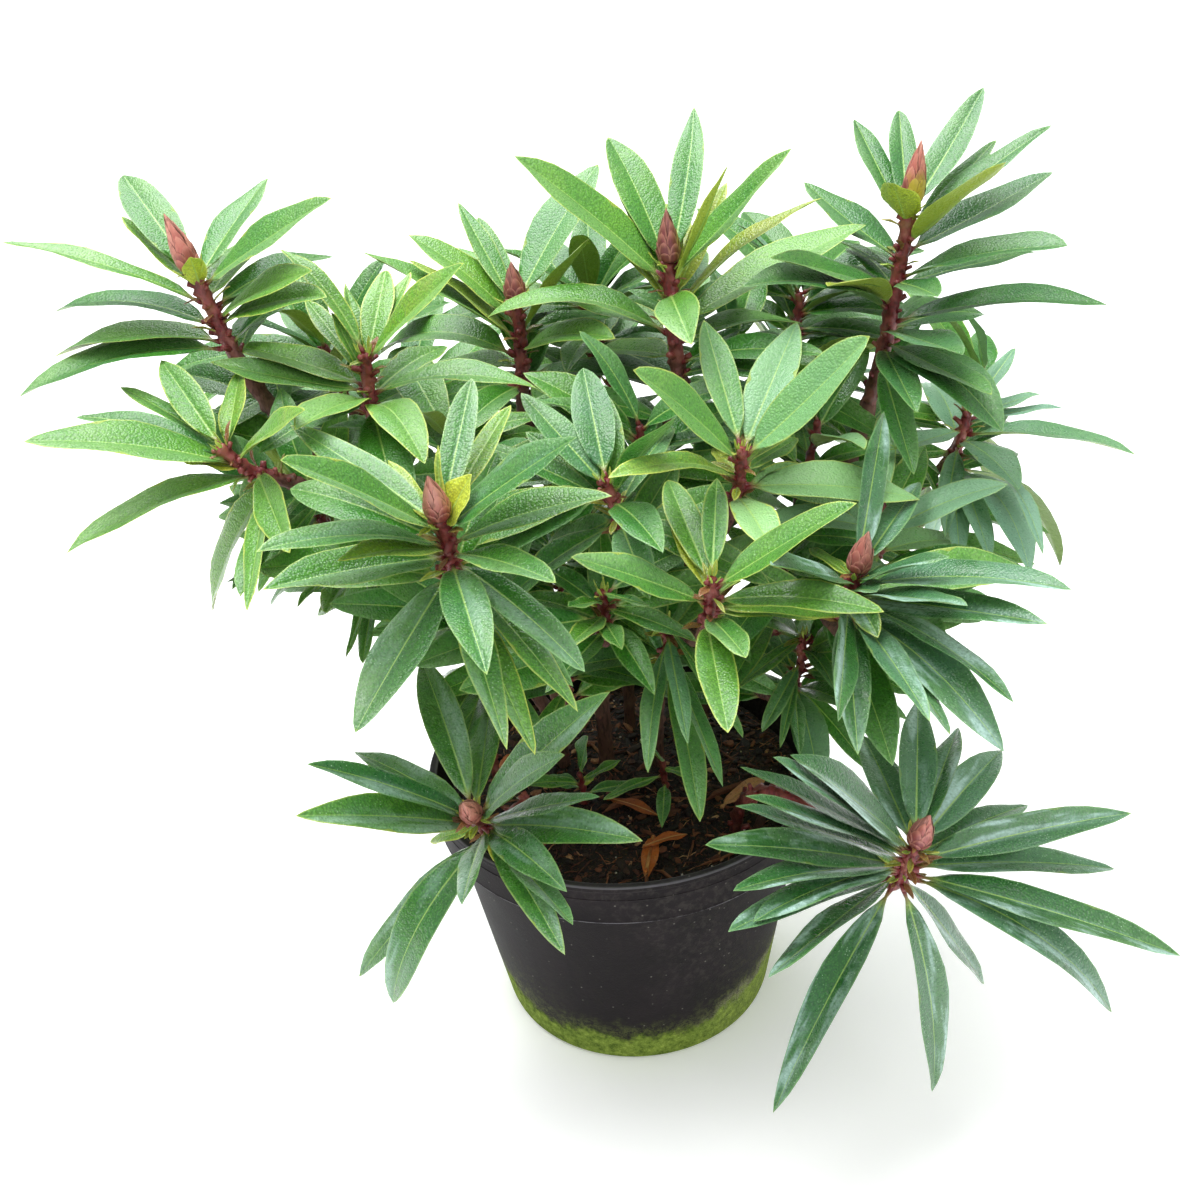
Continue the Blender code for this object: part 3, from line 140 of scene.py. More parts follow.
# Shoots that show only in parts between the others, and the radius that their stems share.
HIDDEN_STEMS = {
    "X1": ((565, 640, -0.020), (566, 662, -0.018), (568, 700, -0.010)),
    "X2": ((450, 440, 0.034), (456, 464, 0.035), (470, 505, 0.036)),
    "X3": ((640, 425, 0.004), (641, 450, 0.006), (640, 492, 0.010)),
    "X4": ((818, 420, 0.030), (813, 446, 0.030), (800, 492, 0.030)),
    "X5": ((305, 498, 0.020), (322, 520, 0.021), (350, 548, 0.022)),
    "X6": ((785, 560, -0.004), (782, 586, -0.001), (772, 630, 0.004)),
    "X7": ((735, 345, 0.074), (733, 372, 0.074), (725, 418, 0.072)),
    "X8": ((556, 540, 0.002), (559, 564, 0.003), (566, 604, 0.006)),
    "X9": ((325, 345, 0.078), (334, 370, 0.077), (352, 410, 0.074)),
    "X10": ((590, 296, 0.128), (592, 322, 0.127), (596, 366, 0.122)),
    "X11": ((800, 292, 0.112), (797, 318, 0.111), (788, 362, 0.106)),
    "X12": ((985, 372, 0.128), (976, 396, 0.126), (958, 440, 0.118)),
}
HIDDEN_RADII = (0.0020, 0.0026)
SHOOT_STEMS.update({name: (points, HIDDEN_RADII) for name, points in HIDDEN_STEMS.items()})
# Shoots on the far side: top of the stem and its lean.
FAR_SHOOTS = {
    "W1": ((-0.115, 0.145, 0.325), (-0.30, 0.35)),
    "W2": ((0.010, 0.185, 0.320), (0.02, 0.45)),
    "W3": ((0.120, 0.155, 0.325), (0.30, 0.40)),
    "W4": ((-0.060, 0.165, 0.225), (-0.15, 0.60)),
    "W5": ((0.078, 0.165, 0.230), (0.25, 0.55)),
}
FAR_STEM = 0.042
FAR_RADII = (0.0024, 0.0030)
# Woody stems: place in the soil, fork point, radius, and the shoots each one carries.
TRUNKS = {
    "stem_centre": ((-0.010, 0.022), (-0.013, 0.022, 0.262), 0.0046, ("E", "F", "I", "K", "X3", "X8", "X10")),
    "stem_right": ((0.020, 0.012), (0.026, 0.004, 0.236), 0.0036, ("H", "J", "S", "T", "X6", "X7", "X11")),
    "stem_left": ((-0.036, 0.024), (-0.066, 0.006, 0.240), 0.0042,
                  ("D", "B", "C", "A", "V", "X1", "X2", "X5", "X9")),
    "stem_far_right": ((0.046, 0.038), (0.096, 0.030, 0.238), 0.0040, ("G", "M", "L", "P", "X4", "X12")),
    "stem_back": ((0.006, 0.060), (0.010, 0.084, 0.185), 0.0034, ("W1", "W2", "W3", "W4", "W5")),
}
ARCHED = {"N": (-0.044, -0.050, 0.205), "O": (0.058, -0.050, 0.215)}
UPRIGHT = ("Q", "R", "U")
BUD_LENGTHS = {"O": 0.021, "N": 0.019, "D": 0.024, "L": 0.022, "G": 0.031, "F": 0.027, "A": 0.029,
               "E": 0.021}
BUD_SLIMNESS = 0.30
FATTEST_BUD = 0.0062
# How olive and how purple the scales of each bud are.
BUD_TINTS = {"G": (0.50, 0.1), "D": (0.22, 0.35), "A": (0.05, 0.0), "F": (0.25, 0.9), "E": (0.0, 0.7),
             "L": (0.10, 0.45), "N": (0.12, 0.1), "O": (0.20, 0.55)}

# Leaf colour of each shoot, from 0 for dark green over 0.5 for yellow-green to 1 for the youngest
# leaves, and how wet the shoot is; wetness also sets the painted sheen and painted glints of water.
SHOOT_TONES = {
    "A": (0.53, 0.1), "B": (0.52, 0.1), "C": (0.50, 0.2), "D": (0.44, 0.5), "E": (0.46, 0.1),
    "F": (0.50, 0.1), "G": (0.30, 0.3), "H": (0.60, 0.2), "I": (0.34, 0.3), "J": (0.43, 0.4),
    "K": (0.38, 0.3), "L": (0.22, 0.8), "M": (0.28, 0.2), "N": (0.36, 0.6), "O": (0.22, 1.0),
    "S": (0.40, 0.3), "T": (0.32, 0.3),
}
PLAIN_TONE = (0.36, 0.2)
# How much pale bloom the leaves of a shoot carry; the bloom also paints in the pale sheen of the sky.
SHOOT_BLOOM_SHEEN = {"M": 0.85, "X12": 0.9, "W3": 0.8, "H": 0.45, "P": 0.60, "O": 0.22, "L": 0.20,
               "X11": 0.5, "X4": 0.4, "I": 0.15, "E": 0.15, "J": 0.1, "T": 0.25, "S": 0.25}
PLAIN_BLOOM_SHEEN = 0.1
# Colour of single leaves, by the picture place of their tip.
LEAF_TONES = {
    "A": {(124, 176): 0.32, (266, 181): 0.36, (330, 199): 0.42, (190, 257): 1.0, (218, 331): 1.0,
          (18, 398): 0.30, (55, 312): 0.22, (1, 242): 0.46},
    "B": {(411, 272): 0.6},
    "C": {(180, 460): 1.0, (242, 367): 0.62, (305, 410): 0.62, (75, 417): 0.24, (23, 442): 0.48},
    "D": {(354, 726): 0.24, (489, 673): 0.34, (584, 670): 0.28, (506, 726): 0.24, (472, 474): 0.95,
          (511, 405): 0.64, (337, 561): 0.66, (438, 445): 0.7, (388, 460): 0.75, (577, 437): 0.30,
          (472, 378): 0.34, (290, 425): 0.42, (262, 590): 0.44},
    "E": {(590, 238): 0.78, (408, 260): 0.74, (700, 402): 0.24},
    "F": {(691, 110): 0.34, (606, 141): 0.40, (683, 205): 0.86, (571, 185): 0.72, (822, 198): 0.78,
          (728, 165): 0.8, (514, 156): 0.5},
    "G": {(893, 183): 0.92, (1006, 162): 0.84, (827, 284): 0.8, (802, 370): 0.6, (1068, 246): 0.2,
          (1108, 305): 0.2, (742, 287): 0.2, (984, 87): 0.26, (1049, 128): 0.24, (860, 122): 0.22,
          (900, 112): 0.22},
    "H": {(712, 448): 0.9, (823, 398): 0.66, (633, 370): 0.5, (704, 320): 0.42, (797, 322): 0.40,
          (870, 336): 0.44, (920, 500): 0.50},
    "I": {(583, 368): 0.22, (521, 393): 0.30},
    "J": {(672, 523): 0.98, (787, 530): 0.64, (836, 619): 0.64, (571, 557): 0.44, (717, 478): 0.44},
    "L": {(810, 548): 0.64, (878, 638): 0.50, (1072, 590): 0.12, (1048, 624): 0.12},
    "M": {(1060, 567): 0.34, (1043, 555): 0.30},
    "N": {(430, 842): 0.66, (295, 816): 0.46, (354, 752): 0.30, (306, 764): 0.12, (359, 977): 0.18},
    "O": {(937, 802): 0.98, (852, 836): 0.66, (918, 700): 0.24, (862, 735): 0.26, (790, 755): 0.26,
          (1181, 956): 0.22},
    "S": {(700, 822): 0.42},
}
# How near to a noted place, in picture points, a tip has to be.
TIP_MATCH = 24.0
CLOSE_MATCH = 12.0
# Leaves of the near shoots that are seen from below, by the picture place of their tip.
SEEN_FROM_BELOW = {
    "A": ((190, 257),),
    "D": ((472, 474),),
    "E": ((590, 238), (408, 260)),
    "F": ((571, 185), (822, 198), (728, 165)),
    "G": ((1006, 162), (827, 284), (802, 370)),
    "M": ((1060, 567), (1043, 555)),
}
# Picture outline of the thick of the plant, which inner leaves keep within.
OUTLINE = (
    (150, 335), (235, 282), (300, 252), (350, 250), (405, 246), (480, 228), (548, 212), (625, 190),
    (690, 205), (760, 205), (830, 200), (870, 196), (945, 250), (1000, 330), (1035, 440), (1052, 540),
    (1000, 620), (950, 655), (1000, 730), (985, 800), (900, 790), (835, 760), (790, 712), (700, 700),
    (600, 690), (520, 690), (440, 725), (418, 690), (345, 650), (300, 605), (236, 610), (214, 590),
    (214, 470), (150, 420),
)
# Inner leaves of each woody stem: the most of them, and the tries at them.
INNER_LEAVES = 150
INNER_TRIES = 5200
# Room for them: half width, half depth and top, how far back they reach, and their lowest point.
INNER_ROOM = (0.250, 0.165, 0.470)
INNER_BACK = 0.262
INNER_FOOT = 0.165
# In cells of the picture: the fewest that a leaf fills, the most that it hides of what is noted, and
# the fewest that it covers.
COVER_CELL = 8.0
INNER_GAIN = 2
INNER_HIDES = 1
INNER_SEEN = 14
BRANCH_NOTE_STEP = 0.004
# How squarely they face the eye, and the depth from which their lower side may face it.
INNER_FACING = 0.30
BACK_HALF = 0.10
INNER_LENGTHS = (0.056, 0.104)
INNER_LEANS = (24.0, 100.0)
INNER_TONES = (0.16, 0.46)
INNER_WET = 0.15
GOLDEN_ANGLE = math.radians(137.5)

# What is seen lying on the soil: ends in the picture, radius and tone of each twig; a yellow leaf.
TWIGS = (((585, 744), (611, 766), 0.0010, 0.86), ((602, 816), (646, 800), 0.0017, 0.70),
         ((704, 806), (760, 784), 0.0020, 0.66), ((607, 768), (626, 781), 0.0008, 0.80))
YELLOW_LEAF = ((578, 792), (594, 784))
YELLOW_LIFT = 0.0045
DRY_TONES = (0.55, 0.42, 0.30, 0.9, 0.35)
CHIP_SIZES = (0.0010, 0.0014, 0.0018, 0.0026)
LONG_FIBRES = 16
FIBRE_SIDES = 5
FIBRE_PARTS = 4

# Where each kind of piece starts its own row of random numbers.
LITTER_SEED = 7
DRY_SEED = 19
WOOD_SEED = 60
BUD_SEED = 80
SHOOT_SEED = 300
INNER_SEED = 500

# Leaf form: the grid of its skin, and its outline.
PETIOLE_PART = 0.07
LEAF_AROUND = 12
LEAF_COLUMNS = (-1.0, -0.68, -0.22, 0.0, 0.22, 0.68, 1.0)
LEAF_STATIONS = (0.0, 0.05, 0.09, 0.125, 0.17, 0.235, 0.32, 0.42, 0.525, 0.63, 0.73, 0.82, 0.90,
                 0.96, 1.0)
BLADE_RISE = 0.76
BLUNT_FALL = 0.70
SHARP_FALL = 0.94
FOLD = math.tan(math.radians(14.0))
TURNED_FOLD = -0.6
RIBBON_STATIONS = (0.13, 0.3, 0.5, 0.7, 0.86, 0.97)
WELD = 0.000001

# Leaf bodies of the CAD shoots: where their two rings stand, how wide the first is, and how a leaf
# tip is told from other corners.
INNER_RING = 0.424
OUTER_RING = 0.748
INNER_WIDTH = 0.9172
CAD_WELD = 0.000002
CAD_BLADE_THICK = 0.0030
WIDEST_TIP = -0.5
SLIMMEST_TIP = 0.0016


# Colours.
def paint(red, green, blue):
    """Linear colour of an everyday colour written from 0 to 255."""
    parts = [value / 255.0 for value in (red, green, blue)]
    lines = [value / 12.92 if value <= 0.04045 else ((value + 0.055) / 1.055) ** 2.4 for value in parts]
    return (*lines, 1.0)


def colour_setting(name, description, red, green, blue):
    return bpy.props.FloatVectorProperty(name=name, description=description, size=4, subtype="COLOR",
                                         min=0.0, max=1.0, default=paint(red, green, blue))


def length_setting(name, description, default, top):
    return bpy.props.FloatProperty(name=name, description=description, default=default, min=0.0,
                                   max=top, unit="LENGTH", subtype="DISTANCE", precision=4)


# Shading.
class Wire:
    """A value inside a finish; arithmetic on it adds Math nodes."""

    def __init__(self, finish, socket):
        self.finish = finish
        self.socket = socket

    def out(self, name):
        """Another output of the node this value comes from."""
        return Wire(self.finish, self.socket.node.outputs[name])

    def __add__(self, other):
        return self.finish.math("ADD", self, other)

    __radd__ = __add__

    def __sub__(self, other):
        return self.finish.math("SUBTRACT", self, other)

    def __rsub__(self, other):
        return self.finish.math("SUBTRACT", other, self)

    def __mul__(self, other):
        return self.finish.math("MULTIPLY", self, other)

    __rmul__ = __mul__

    def __truediv__(self, other):
        return self.finish.math("DIVIDE", self, other)

    def __abs__(self):
        return self.finish.math("ABSOLUTE", self)


class Finish:
    """A material made of shading nodes."""

    def __init__(self, name):
        self.material = bpy.data.materials.new(name)
        self.material.use_nodes = True
        self.tree = self.material.node_tree
        self.shader = self.tree.nodes["Principled BSDF"]

    def node(self, kind, settings=None, inputs=None, output=0):
        """A node with its settings, then its inputs by name or number; returns one output."""
        made = self.tree.nodes.new(kind)
        for name, value in (settings or {}).items():
            if name == "stops":
                self.set_stops(made.color_ramp, value)
            else:
                setattr(made, name, value)
        for name, value in (inputs or {}).items():
            self.feed(made.inputs[name], value)
        return Wire(self, made.outputs[output])

    def set_stops(self, ramp, stops):
        while len(ramp.elements) < len(stops):
            ramp.elements.new(0.5)
        for element, (place, colour) in zip(ramp.elements, stops):
            element.position = place
            element.color = colour

    def feed(self, socket, value):
        if isinstance(value, Wire):
            self.tree.links.new(value.socket, socket)
        else:
            socket.default_value = value

    def math(self, operation, *terms):
        return self.node("ShaderNodeMath", {"operation": operation}, dict(enumerate(terms)))

    def attribute(self, name):
        """The three parts of a vector kept on the piece."""
        vector = self.node("ShaderNodeAttribute", {"attribute_name": name}, output="Vector")
        parts = self.node("ShaderNodeSeparateXYZ", inputs={0: vector})
        return parts, parts.out("Y"), parts.out("Z")

    def place(self):
        return self.node("ShaderNodeTexCoord", output="Object")

    def noise(self, scale, detail, rough, vector=None):
        inputs = {"Scale": scale, "Detail": detail, "Roughness": rough,
                  "Vector": self.place() if vector is None else vector}
        return self.node("ShaderNodeTexNoise", inputs=inputs)

    def cells(self, scale, vector=None, output="Distance"):
        inputs = {"Scale": scale, "Vector": self.place() if vector is None else vector}
        return self.node("ShaderNodeTexVoronoi", inputs=inputs, output=output)

    def rise(self, value, low, high):
        """0 below low, 1 above high and a smooth step between; low may be the higher one."""
        return self.node("ShaderNodeMapRange", {"interpolation_type": "SMOOTHSTEP"},
                         {"Value": value, "From Min": low, "From Max": high})

    def ramp(self, value, *stops):
        return self.node("ShaderNodeValToRGB", {"stops": stops}, {0: value})

    def mix(self, first, second, part):
        return self.node("ShaderNodeMix", {"data_type": "RGBA"}, {0: part, 6: first, 7: second}, 2)

    def scaled(self, vector, factor):
        return self.node("ShaderNodeVectorMath", {"operation": "MULTIPLY"}, {0: vector, 1: factor})

    def shifted(self, vector, offset):
        return self.node("ShaderNodeVectorMath", {"operation": "ADD"}, {0: vector, 1: offset})

    def vector(self, x, y, z):
        return self.node("ShaderNodeCombineXYZ", inputs={0: x, 1: y, 2: z})

    def bump(self, height, distance, strength):
        inputs = {"Height": height, "Distance": distance, "Strength": strength}
        return self.node("ShaderNodeBump", inputs=inputs)

    def done(self, **inputs):
        """Feed the shader by socket name, with _ for spaces, and return the material."""
        for name, value in inputs.items():
            self.feed(self.shader.inputs[name.replace("_", " ")], value)
        return self.material


# Places in the picture.
def eye_axes():
    """Right, up and forward of the eye."""
    forward = (LOOK_AT - EYE).normalized()
    right = Vector((1.0, 0.0, 0.0))
    up = right.cross(forward)
    turned_right = right * math.cos(EYE_ROLL) + up * math.sin(EYE_ROLL)
    turned_up = up * math.cos(EYE_ROLL) - right * math.sin(EYE_ROLL)
    return turned_right, turned_up, forward


EYE_RIGHT, EYE_UP, EYE_FORWARD = eye_axes()


def seen_point(x, y, depth):
    """The point on a sight line whose y coordinate is depth."""
    line = (EYE_FORWARD + EYE_RIGHT * ((x - PICTURE_CENTRE) / FOCAL_PIXELS)
            - EYE_UP * ((y - PICTURE_CENTRE) / FOCAL_PIXELS))
    return EYE + line * ((depth - EYE.y) / line.y)


def soil_point(x, y):
    """The point of the soil's level that is seen at a picture place."""
    near = seen_point(x, y, 0.0) - EYE
    return EYE + near * ((SOIL_LEVEL - EYE.z) / near.z)


def picture_place(point):
    """Picture x and y of a point."""
    offset = point - EYE
    scale = FOCAL_PIXELS / offset.dot(EYE_FORWARD)
    return PICTURE_CENTRE + offset.dot(EYE_RIGHT) * scale, PICTURE_CENTRE - offset.dot(EYE_UP) * scale


# Curves.
def bezier(points, t):
    """A point of a Bezier curve of any order."""
    while len(points) > 1:
        points = [a.lerp(b, t) for a, b in zip(points, points[1:])]
    return points[0]


def sampled(points, count):
    """Evenly stepped points of a Bezier curve."""
    return [bezier(list(points), i / (count - 1)) for i in range(count)]


def spread(low, high, part):
    return low + (high - low) * part


def round_axis(side, fore, turn):
    """A direction turned round an axis, from two directions square to it."""
    return side * math.cos(turn) + fore * math.sin(turn)


def square_to(chord, direction):
    """A direction made square to a chord."""
    return (direction - chord * direction.dot(chord)).normalized()


def smooth_step(low, high, value):
    part = min(max((value - low) / (high - low), 0.0), 1.0)
    return part * part * (3.0 - 2.0 * part)


def box_of(corners):
    """Lowest and highest corner of a list of points."""
    return [[pick(corner[i] for corner in corners) for i in range(3)] for pick in (min, max)]


def boxes_meet(a, b):
    return all(a[0][i] <= b[1][i] and b[0][i] <= a[1][i] for i in range(3))


def inside_outline(point):
    """True when a point is seen within the part of the picture that foliage fills."""
    x, y = picture_place(point)
    inside = False
    for (x0, y0), (x1, y1) in zip(OUTLINE, OUTLINE[1:] + OUTLINE[:1]):
        if (y0 > y) != (y1 > y) and x < x0 + (x1 - x0) * (y - y0) / (y1 - y0):
            inside = not inside
    return inside


def picture_cell(x, y):
    """The cell of the picture that holds a place."""
    return int(x / COVER_CELL), int(y / COVER_CELL)


def keep_least(store, key, value):
    """Keep a value under its key unless a lower one is there."""
    store[key] = min(value, store.get(key, math.inf))


def seen_cells(blade):
    """Cells of the picture that a leaf covers, each with its distance from the eye."""
    cells = {}
    for t in (0.2, 0.3, 0.4, 0.5, 0.6, 0.7, 0.8, 0.9):
        point, across, _ = blade.frame(t)
        for s in (-0.8, -0.4, 0.0, 0.4, 0.8):
            spot = point + across * (s * blade.half_at(t))
            keep_least(cells, picture_cell(*picture_place(spot)), (spot - EYE).length)
    return cells


class Path:
    """A smooth path through points, with a radius at each."""

    def __init__(self, points, radii):
        self.points = points
        self.radii = radii
        self.marks = [0.0]
        for a, b in zip(points, points[1:]):
            self.marks.append(self.marks[-1] + (b - a).length)
        self.length = self.marks[-1]
        self.directions = []
        for i in range(len(points)):
            before, after = points[max(i - 1, 0)], points[min(i + 1, len(points) - 1)]
            self.directions.append((after - before).normalized())

    def at(self, distance):
        """Point, direction and radius at a distance from the start."""
        i = 0
        while i < len(self.points) - 2 and self.marks[i + 1] < distance:
            i += 1
        span = self.marks[i + 1] - self.marks[i]
        t = min(max((distance - self.marks[i]) / span, 0.0), 1.0)
        a, b = self.points[i], self.points[i + 1]
        first = a + self.directions[i] * span / 3.0
        second = b - self.directions[i + 1] * span / 3.0
        point = bezier([a, first, second, b], t)
        direction = self.directions[i].lerp(self.directions[i + 1], t).normalized()
        return point, direction, spread(self.radii[i], self.radii[i + 1], t)


# Plan of the stems.
def shoot_radii(name):
    return SHOOT_STEMS[name][1] if name in SHOOT_STEMS else FAR_RADII


def plan_stems():
    """Stem points from the top down for every shoot, by name."""
    stems = {name: [seen_point(*point) for point in points] for name, (points, _) in SHOOT_STEMS.items()}
    for name, (top, lean) in FAR_SHOOTS.items():
        top = Vector(top)
        down = Vector((-lean[0], -lean[1], -1.0)).normalized() * FAR_STEM
        stems[name] = [top, top + down * 0.5, top + down]
    for name, (x, y, height) in ARCHED.items():
        foot = stems[name][-1]
        heading = (foot - stems[name][-2]).normalized()
        ground = Vector((x, y, SOIL_LEVEL))
        span = (foot - ground).length
        inward = Vector((ground.x, ground.y, height)).lerp(Vector((foot.x, foot.y, height)), 0.35)
        arc = (foot, foot + heading * span * 0.15, inward, ground + Vector((0, 0, span * 0.35)), ground)
        stems[name] += sampled(arc, 7)[1:] + [ground - Vector((0, 0, STEM_SOCKET))]
    for name in UPRIGHT:
        foot = stems[name][-1]
        stems[name].append(Vector((foot.x, foot.y, SOIL_LEVEL - STEM_SOCKET)))
    return stems


def stem_path(name, points):
    """The stem of a shoot, growing thicker from its top to its foot."""
    top, foot = shoot_radii(name)
    last = len(points) - 1
    return Path(points, [top + (foot - top) * min(i / min(last, 4), 1.0) for i in range(last + 1)])


def branch_paths(name, stems):
    """The trunk of a woody stem and its branches, each ending at the foot of its shoot."""
    soil, fork, radius, shoots = TRUNKS[name]
    fork = Vector(fork)
    ground = Vector((*soil, SOIL_LEVEL))
    top = fork + (fork - ground).normalized() * 0.004
    trunk = [ground - Vector((0, 0, STEM_SOCKET)),
             *sampled((ground, ground + Vector((0, 0, 0.045)), fork - (fork - ground) * 0.3, top), 5)]
    paths = [Path(trunk, [radius] * 3 + [radius * 0.95] * 3)]
    for shoot in shoots:
        foot_radius = shoot_radii(shoot)[1]
        foot = stems[shoot][-1]
        heading = (stems[shoot][-2] - foot).normalized()
        reach = (foot - fork).length
        rise = (fork - ground).normalized()
        arc = (fork - rise * 0.002, fork + rise * reach * 0.25, foot - heading * reach * 0.24, foot)
        first = min(radius * 0.85, foot_radius)
        points = sampled(arc, 9) + [foot + heading * BRANCH_SUNK]
        radii = [spread(first, foot_radius, i / 8) for i in range(9)] + [foot_radius * 0.7]
        paths.append(Path(points, radii))
    return paths


# Meshes.
class Skin:
    """A mesh under construction with named vectors kept at its corners."""

    def __init__(self, *layers):
        self.body = bmesh.new()
        self.layers = {name: self.body.verts.layers.float_vector.new(name) for name in layers}

    def wrap(self, around, along, place, material=0):
        """A closed skin: a grid whose side edges meet; place(i, j) gives a corner's point and vectors."""
        made = bmesh.ops.create_grid(self.body, x_segments=around, y_segments=along, size=0.5)
        for corner in made["verts"]:
            i = round((corner.co.x + 0.5) * around)
            j = round((corner.co.y + 0.5) * along)
            point, vectors = place(i, j)
            corner.co = point
            self.mark(corner, vectors)
        self.dress(made["verts"], material)
        return made["verts"]

    def mark(self, corner, vectors):
        for name, vector in vectors.items():
            corner[self.layers[name]] = vector

    def dress(self, corners, material):
        if material:
            for face in {face for corner in corners for face in corner.link_faces}:
                face.material_index = material

    def piece(self, name, materials, smooth=True, weld=WELD):
        """Finish the mesh as an object standing at the origin."""
        bmesh.ops.remove_doubles(self.body, verts=self.body.verts, dist=weld)
        bmesh.ops.dissolve_degenerate(self.body, edges=self.body.edges, dist=weld)
        bmesh.ops.recalc_face_normals(self.body, faces=self.body.faces)
        for face in self.body.faces:
            face.smooth = smooth
        mesh = bpy.data.meshes.new(name)
        self.body.to_mesh(mesh)
        self.body.free()
        for material in materials:
            mesh.materials.append(material)
        made = bpy.data.objects.new(name, mesh)
        bpy.context.scene.collection.objects.link(made)
        return made


def join_frame(piece, slot, *nodes):
    """Let a piece ride with the plant and stand for its CAD nodes."""
    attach(piece, "root")
    if nodes:
        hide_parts(*nodes)


def finish_named(name, make, *values):
    """A material by name, made the first time that it is asked for."""
    return bpy.data.materials.get(name) or make(*values)


# Leaves of the CAD shoots.
class Blade:
    """One leaf: the curve of its midrib, its width and the way it faces at two places."""

    def __init__(self, root, bend, tip, width, inner_across, outer_across):
        self.root = root
        self.bend = bend
        self.tip = tip
        self.width = width
        self.inner_across = inner_across
        self.outer_across = outer_across
        chance = (tip.x * 977.0 + tip.y * 571.0 + tip.z * 613.0) % 1.0
        self.fall = spread(BLUNT_FALL, SHARP_FALL, chance)
        top = BLADE_RISE / (BLADE_RISE + self.fall)
        self.peak = top ** BLADE_RISE * (1.0 - top) ** self.fall
        self.length = ((bend - root).length + (tip - bend).length + (tip - root).length) * 0.5

    def direction(self, t):
        return (self.bend - self.root).lerp(self.tip - self.bend, t).normalized()

    def frame(self, t):
        """Point, across and upper-side directions at a part of the midrib."""
        point = bezier([self.root, self.bend, self.tip], t)
        along = self.direction(t)
        part = min(max((t - INNER_RING) / (OUTER_RING - INNER_RING), 0.0), 1.0)
        across = square_to(along, self.inner_across.lerp(self.outer_across, part))
        return point, across, across.cross(along)

    def half_at(self, t):
        """Half width of the blade at a part of the midrib."""
        part = min(max((t - PETIOLE_PART) / (1.0 - PETIOLE_PART), 0.0), 1.0)
        return 0.5 * self.width * (part ** BLADE_RISE) * ((1.0 - part) ** self.fall) / self.peak

    def ribbon(self, offset):
        """The blade as points in threes, edge, middle and edge, moved off its upper side."""
        points = []
        for t in RIBBON_STATIONS:
            point, across, up = self.frame(t)
            half = self.half_at(t)
            lift = up * (half * FOLD)
            points += [point - across * half + lift + up * offset, point + up * offset,
                       point + across * half + lift + up * offset]
        return points

    def tree(self, offset):
        """The blade as a body that can be tested against others."""
        faces = []
        for low in range(0, 3 * (len(RIBBON_STATIONS) - 1), 3):
            faces += [(low, low + 1, low + 4, low + 3), (low + 1, low + 2, low + 5, low + 4)]
        return BVHTree.FromPolygons(self.ribbon(offset), faces)


def read_blade(tip, outer, inner):
    """A leaf from its tip and the two rings of its CAD body."""
    middles = [(ring[2] + ring[3]) * 0.5 for ring in (inner, outer)]
    sums = []
    for t, middle in zip((INNER_RING, OUTER_RING), middles):
        sums.append(((1 - t) ** 2, 2 * t * (1 - t), middle - tip * t * t))
    (a1, b1, d1), (a2, b2, d2) = sums
    size = a1 * b2 - a2 * b1
    root, bend = (d1 * b2 - d2 * b1) / size, (d2 * a1 - d1 * a2) / size
    width = (inner[0] - inner[1]).length / INNER_WIDTH
    blade = Blade(root, bend, tip, width, (inner[1] - inner[0]).normalized(),
                  (outer[1] - outer[0]).normalized())
    lifted = (inner[0] + inner[1]) * 0.5 - middles[0]
    if blade.frame(INNER_RING)[2].dot(lifted) < 0.0:
        blade.inner_across.negate()
        blade.outer_across.negate()
    return blade


def grown_blade(root, tip, sag, up, width):
    """A leaf from its ends, the sag of its midrib, its upper side and width."""
    bend = root.lerp(tip, 0.5) + sag * 2.0
    across = (tip - root).cross(up).normalized()
    return Blade(root, bend, tip, width, across, across.copy())


def ring_of(tip):
    """Left, right, top and bottom of the ring next to a leaf tip, or None where it isn't one."""
    ring = [edge.other_vert(tip) for edge in tip.link_edges]
    if len(ring) != 4:
        return None
    linked = {edge.other_vert(ring[0]) for edge in ring[0].link_edges}
    sides = [corner for corner in ring[1:] if corner in linked]
    if len(sides) != 2:
        return None
    opposite = next(corner for corner in ring[1:] if corner not in sides)
    pairs = sorted([(ring[0], opposite), tuple(sides)], key=lambda pair: (pair[0].co - pair[1].co).length)
    (top, bottom), (left, right) = pairs
    if (top.co - bottom.co).length > CAD_BLADE_THICK:
        return None
    if (left.co - tip.co).normalized().dot((right.co - tip.co).normalized()) < WIDEST_TIP:
        return None
    return left, right, top, bottom


def next_ring(tip, ring):
    """The ring behind the first one, or None."""
    left, right, top, bottom = ring
    behind = []
    for corner in (left, right):
        rest = [edge.other_vert(corner) for edge in corner.link_edges]
        rest = [other for other in rest if other not in (tip, top, bottom)]
        if len(rest) != 1:
            return None
        behind += rest
    for corner in (top, bottom):
        rest = [edge.other_vert(corner) for edge in corner.link_edges]
        rest = [other for other in rest if other not in (tip, left, right, behind[0], behind[1])]
        if len(rest) != 1:
            return None
        behind += rest
    return behind


def blades_of(node):
    """Every leaf of a CAD node."""
    body = bmesh.new()
    body.from_mesh(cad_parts[node].data)
    bmesh.ops.remove_doubles(body, verts=body.verts, dist=CAD_WELD)
    blades = []
    for tip in body.verts:
        ring = ring_of(tip)
        behind = next_ring(tip, ring) if ring else None
        if behind and (ring[0].co - ring[1].co).length > SLIMMEST_TIP:
            blades.append(read_blade(tip.co.copy(), [corner.co.copy() for corner in ring],
                                     [corner.co.copy() for corner in behind]))
    body.free()
    blades.sort(key=lambda blade: (blade.tip.z, blade.tip.x))
    return blades


def nearest_note(place, notes, reach):
    """The noted tip nearest to a picture place, or None where none is within reach."""
    ranked = sorted(notes, key=lambda note: math.dist(place, note))
    return ranked[0] if ranked and math.dist(place, ranked[0]) < reach else None


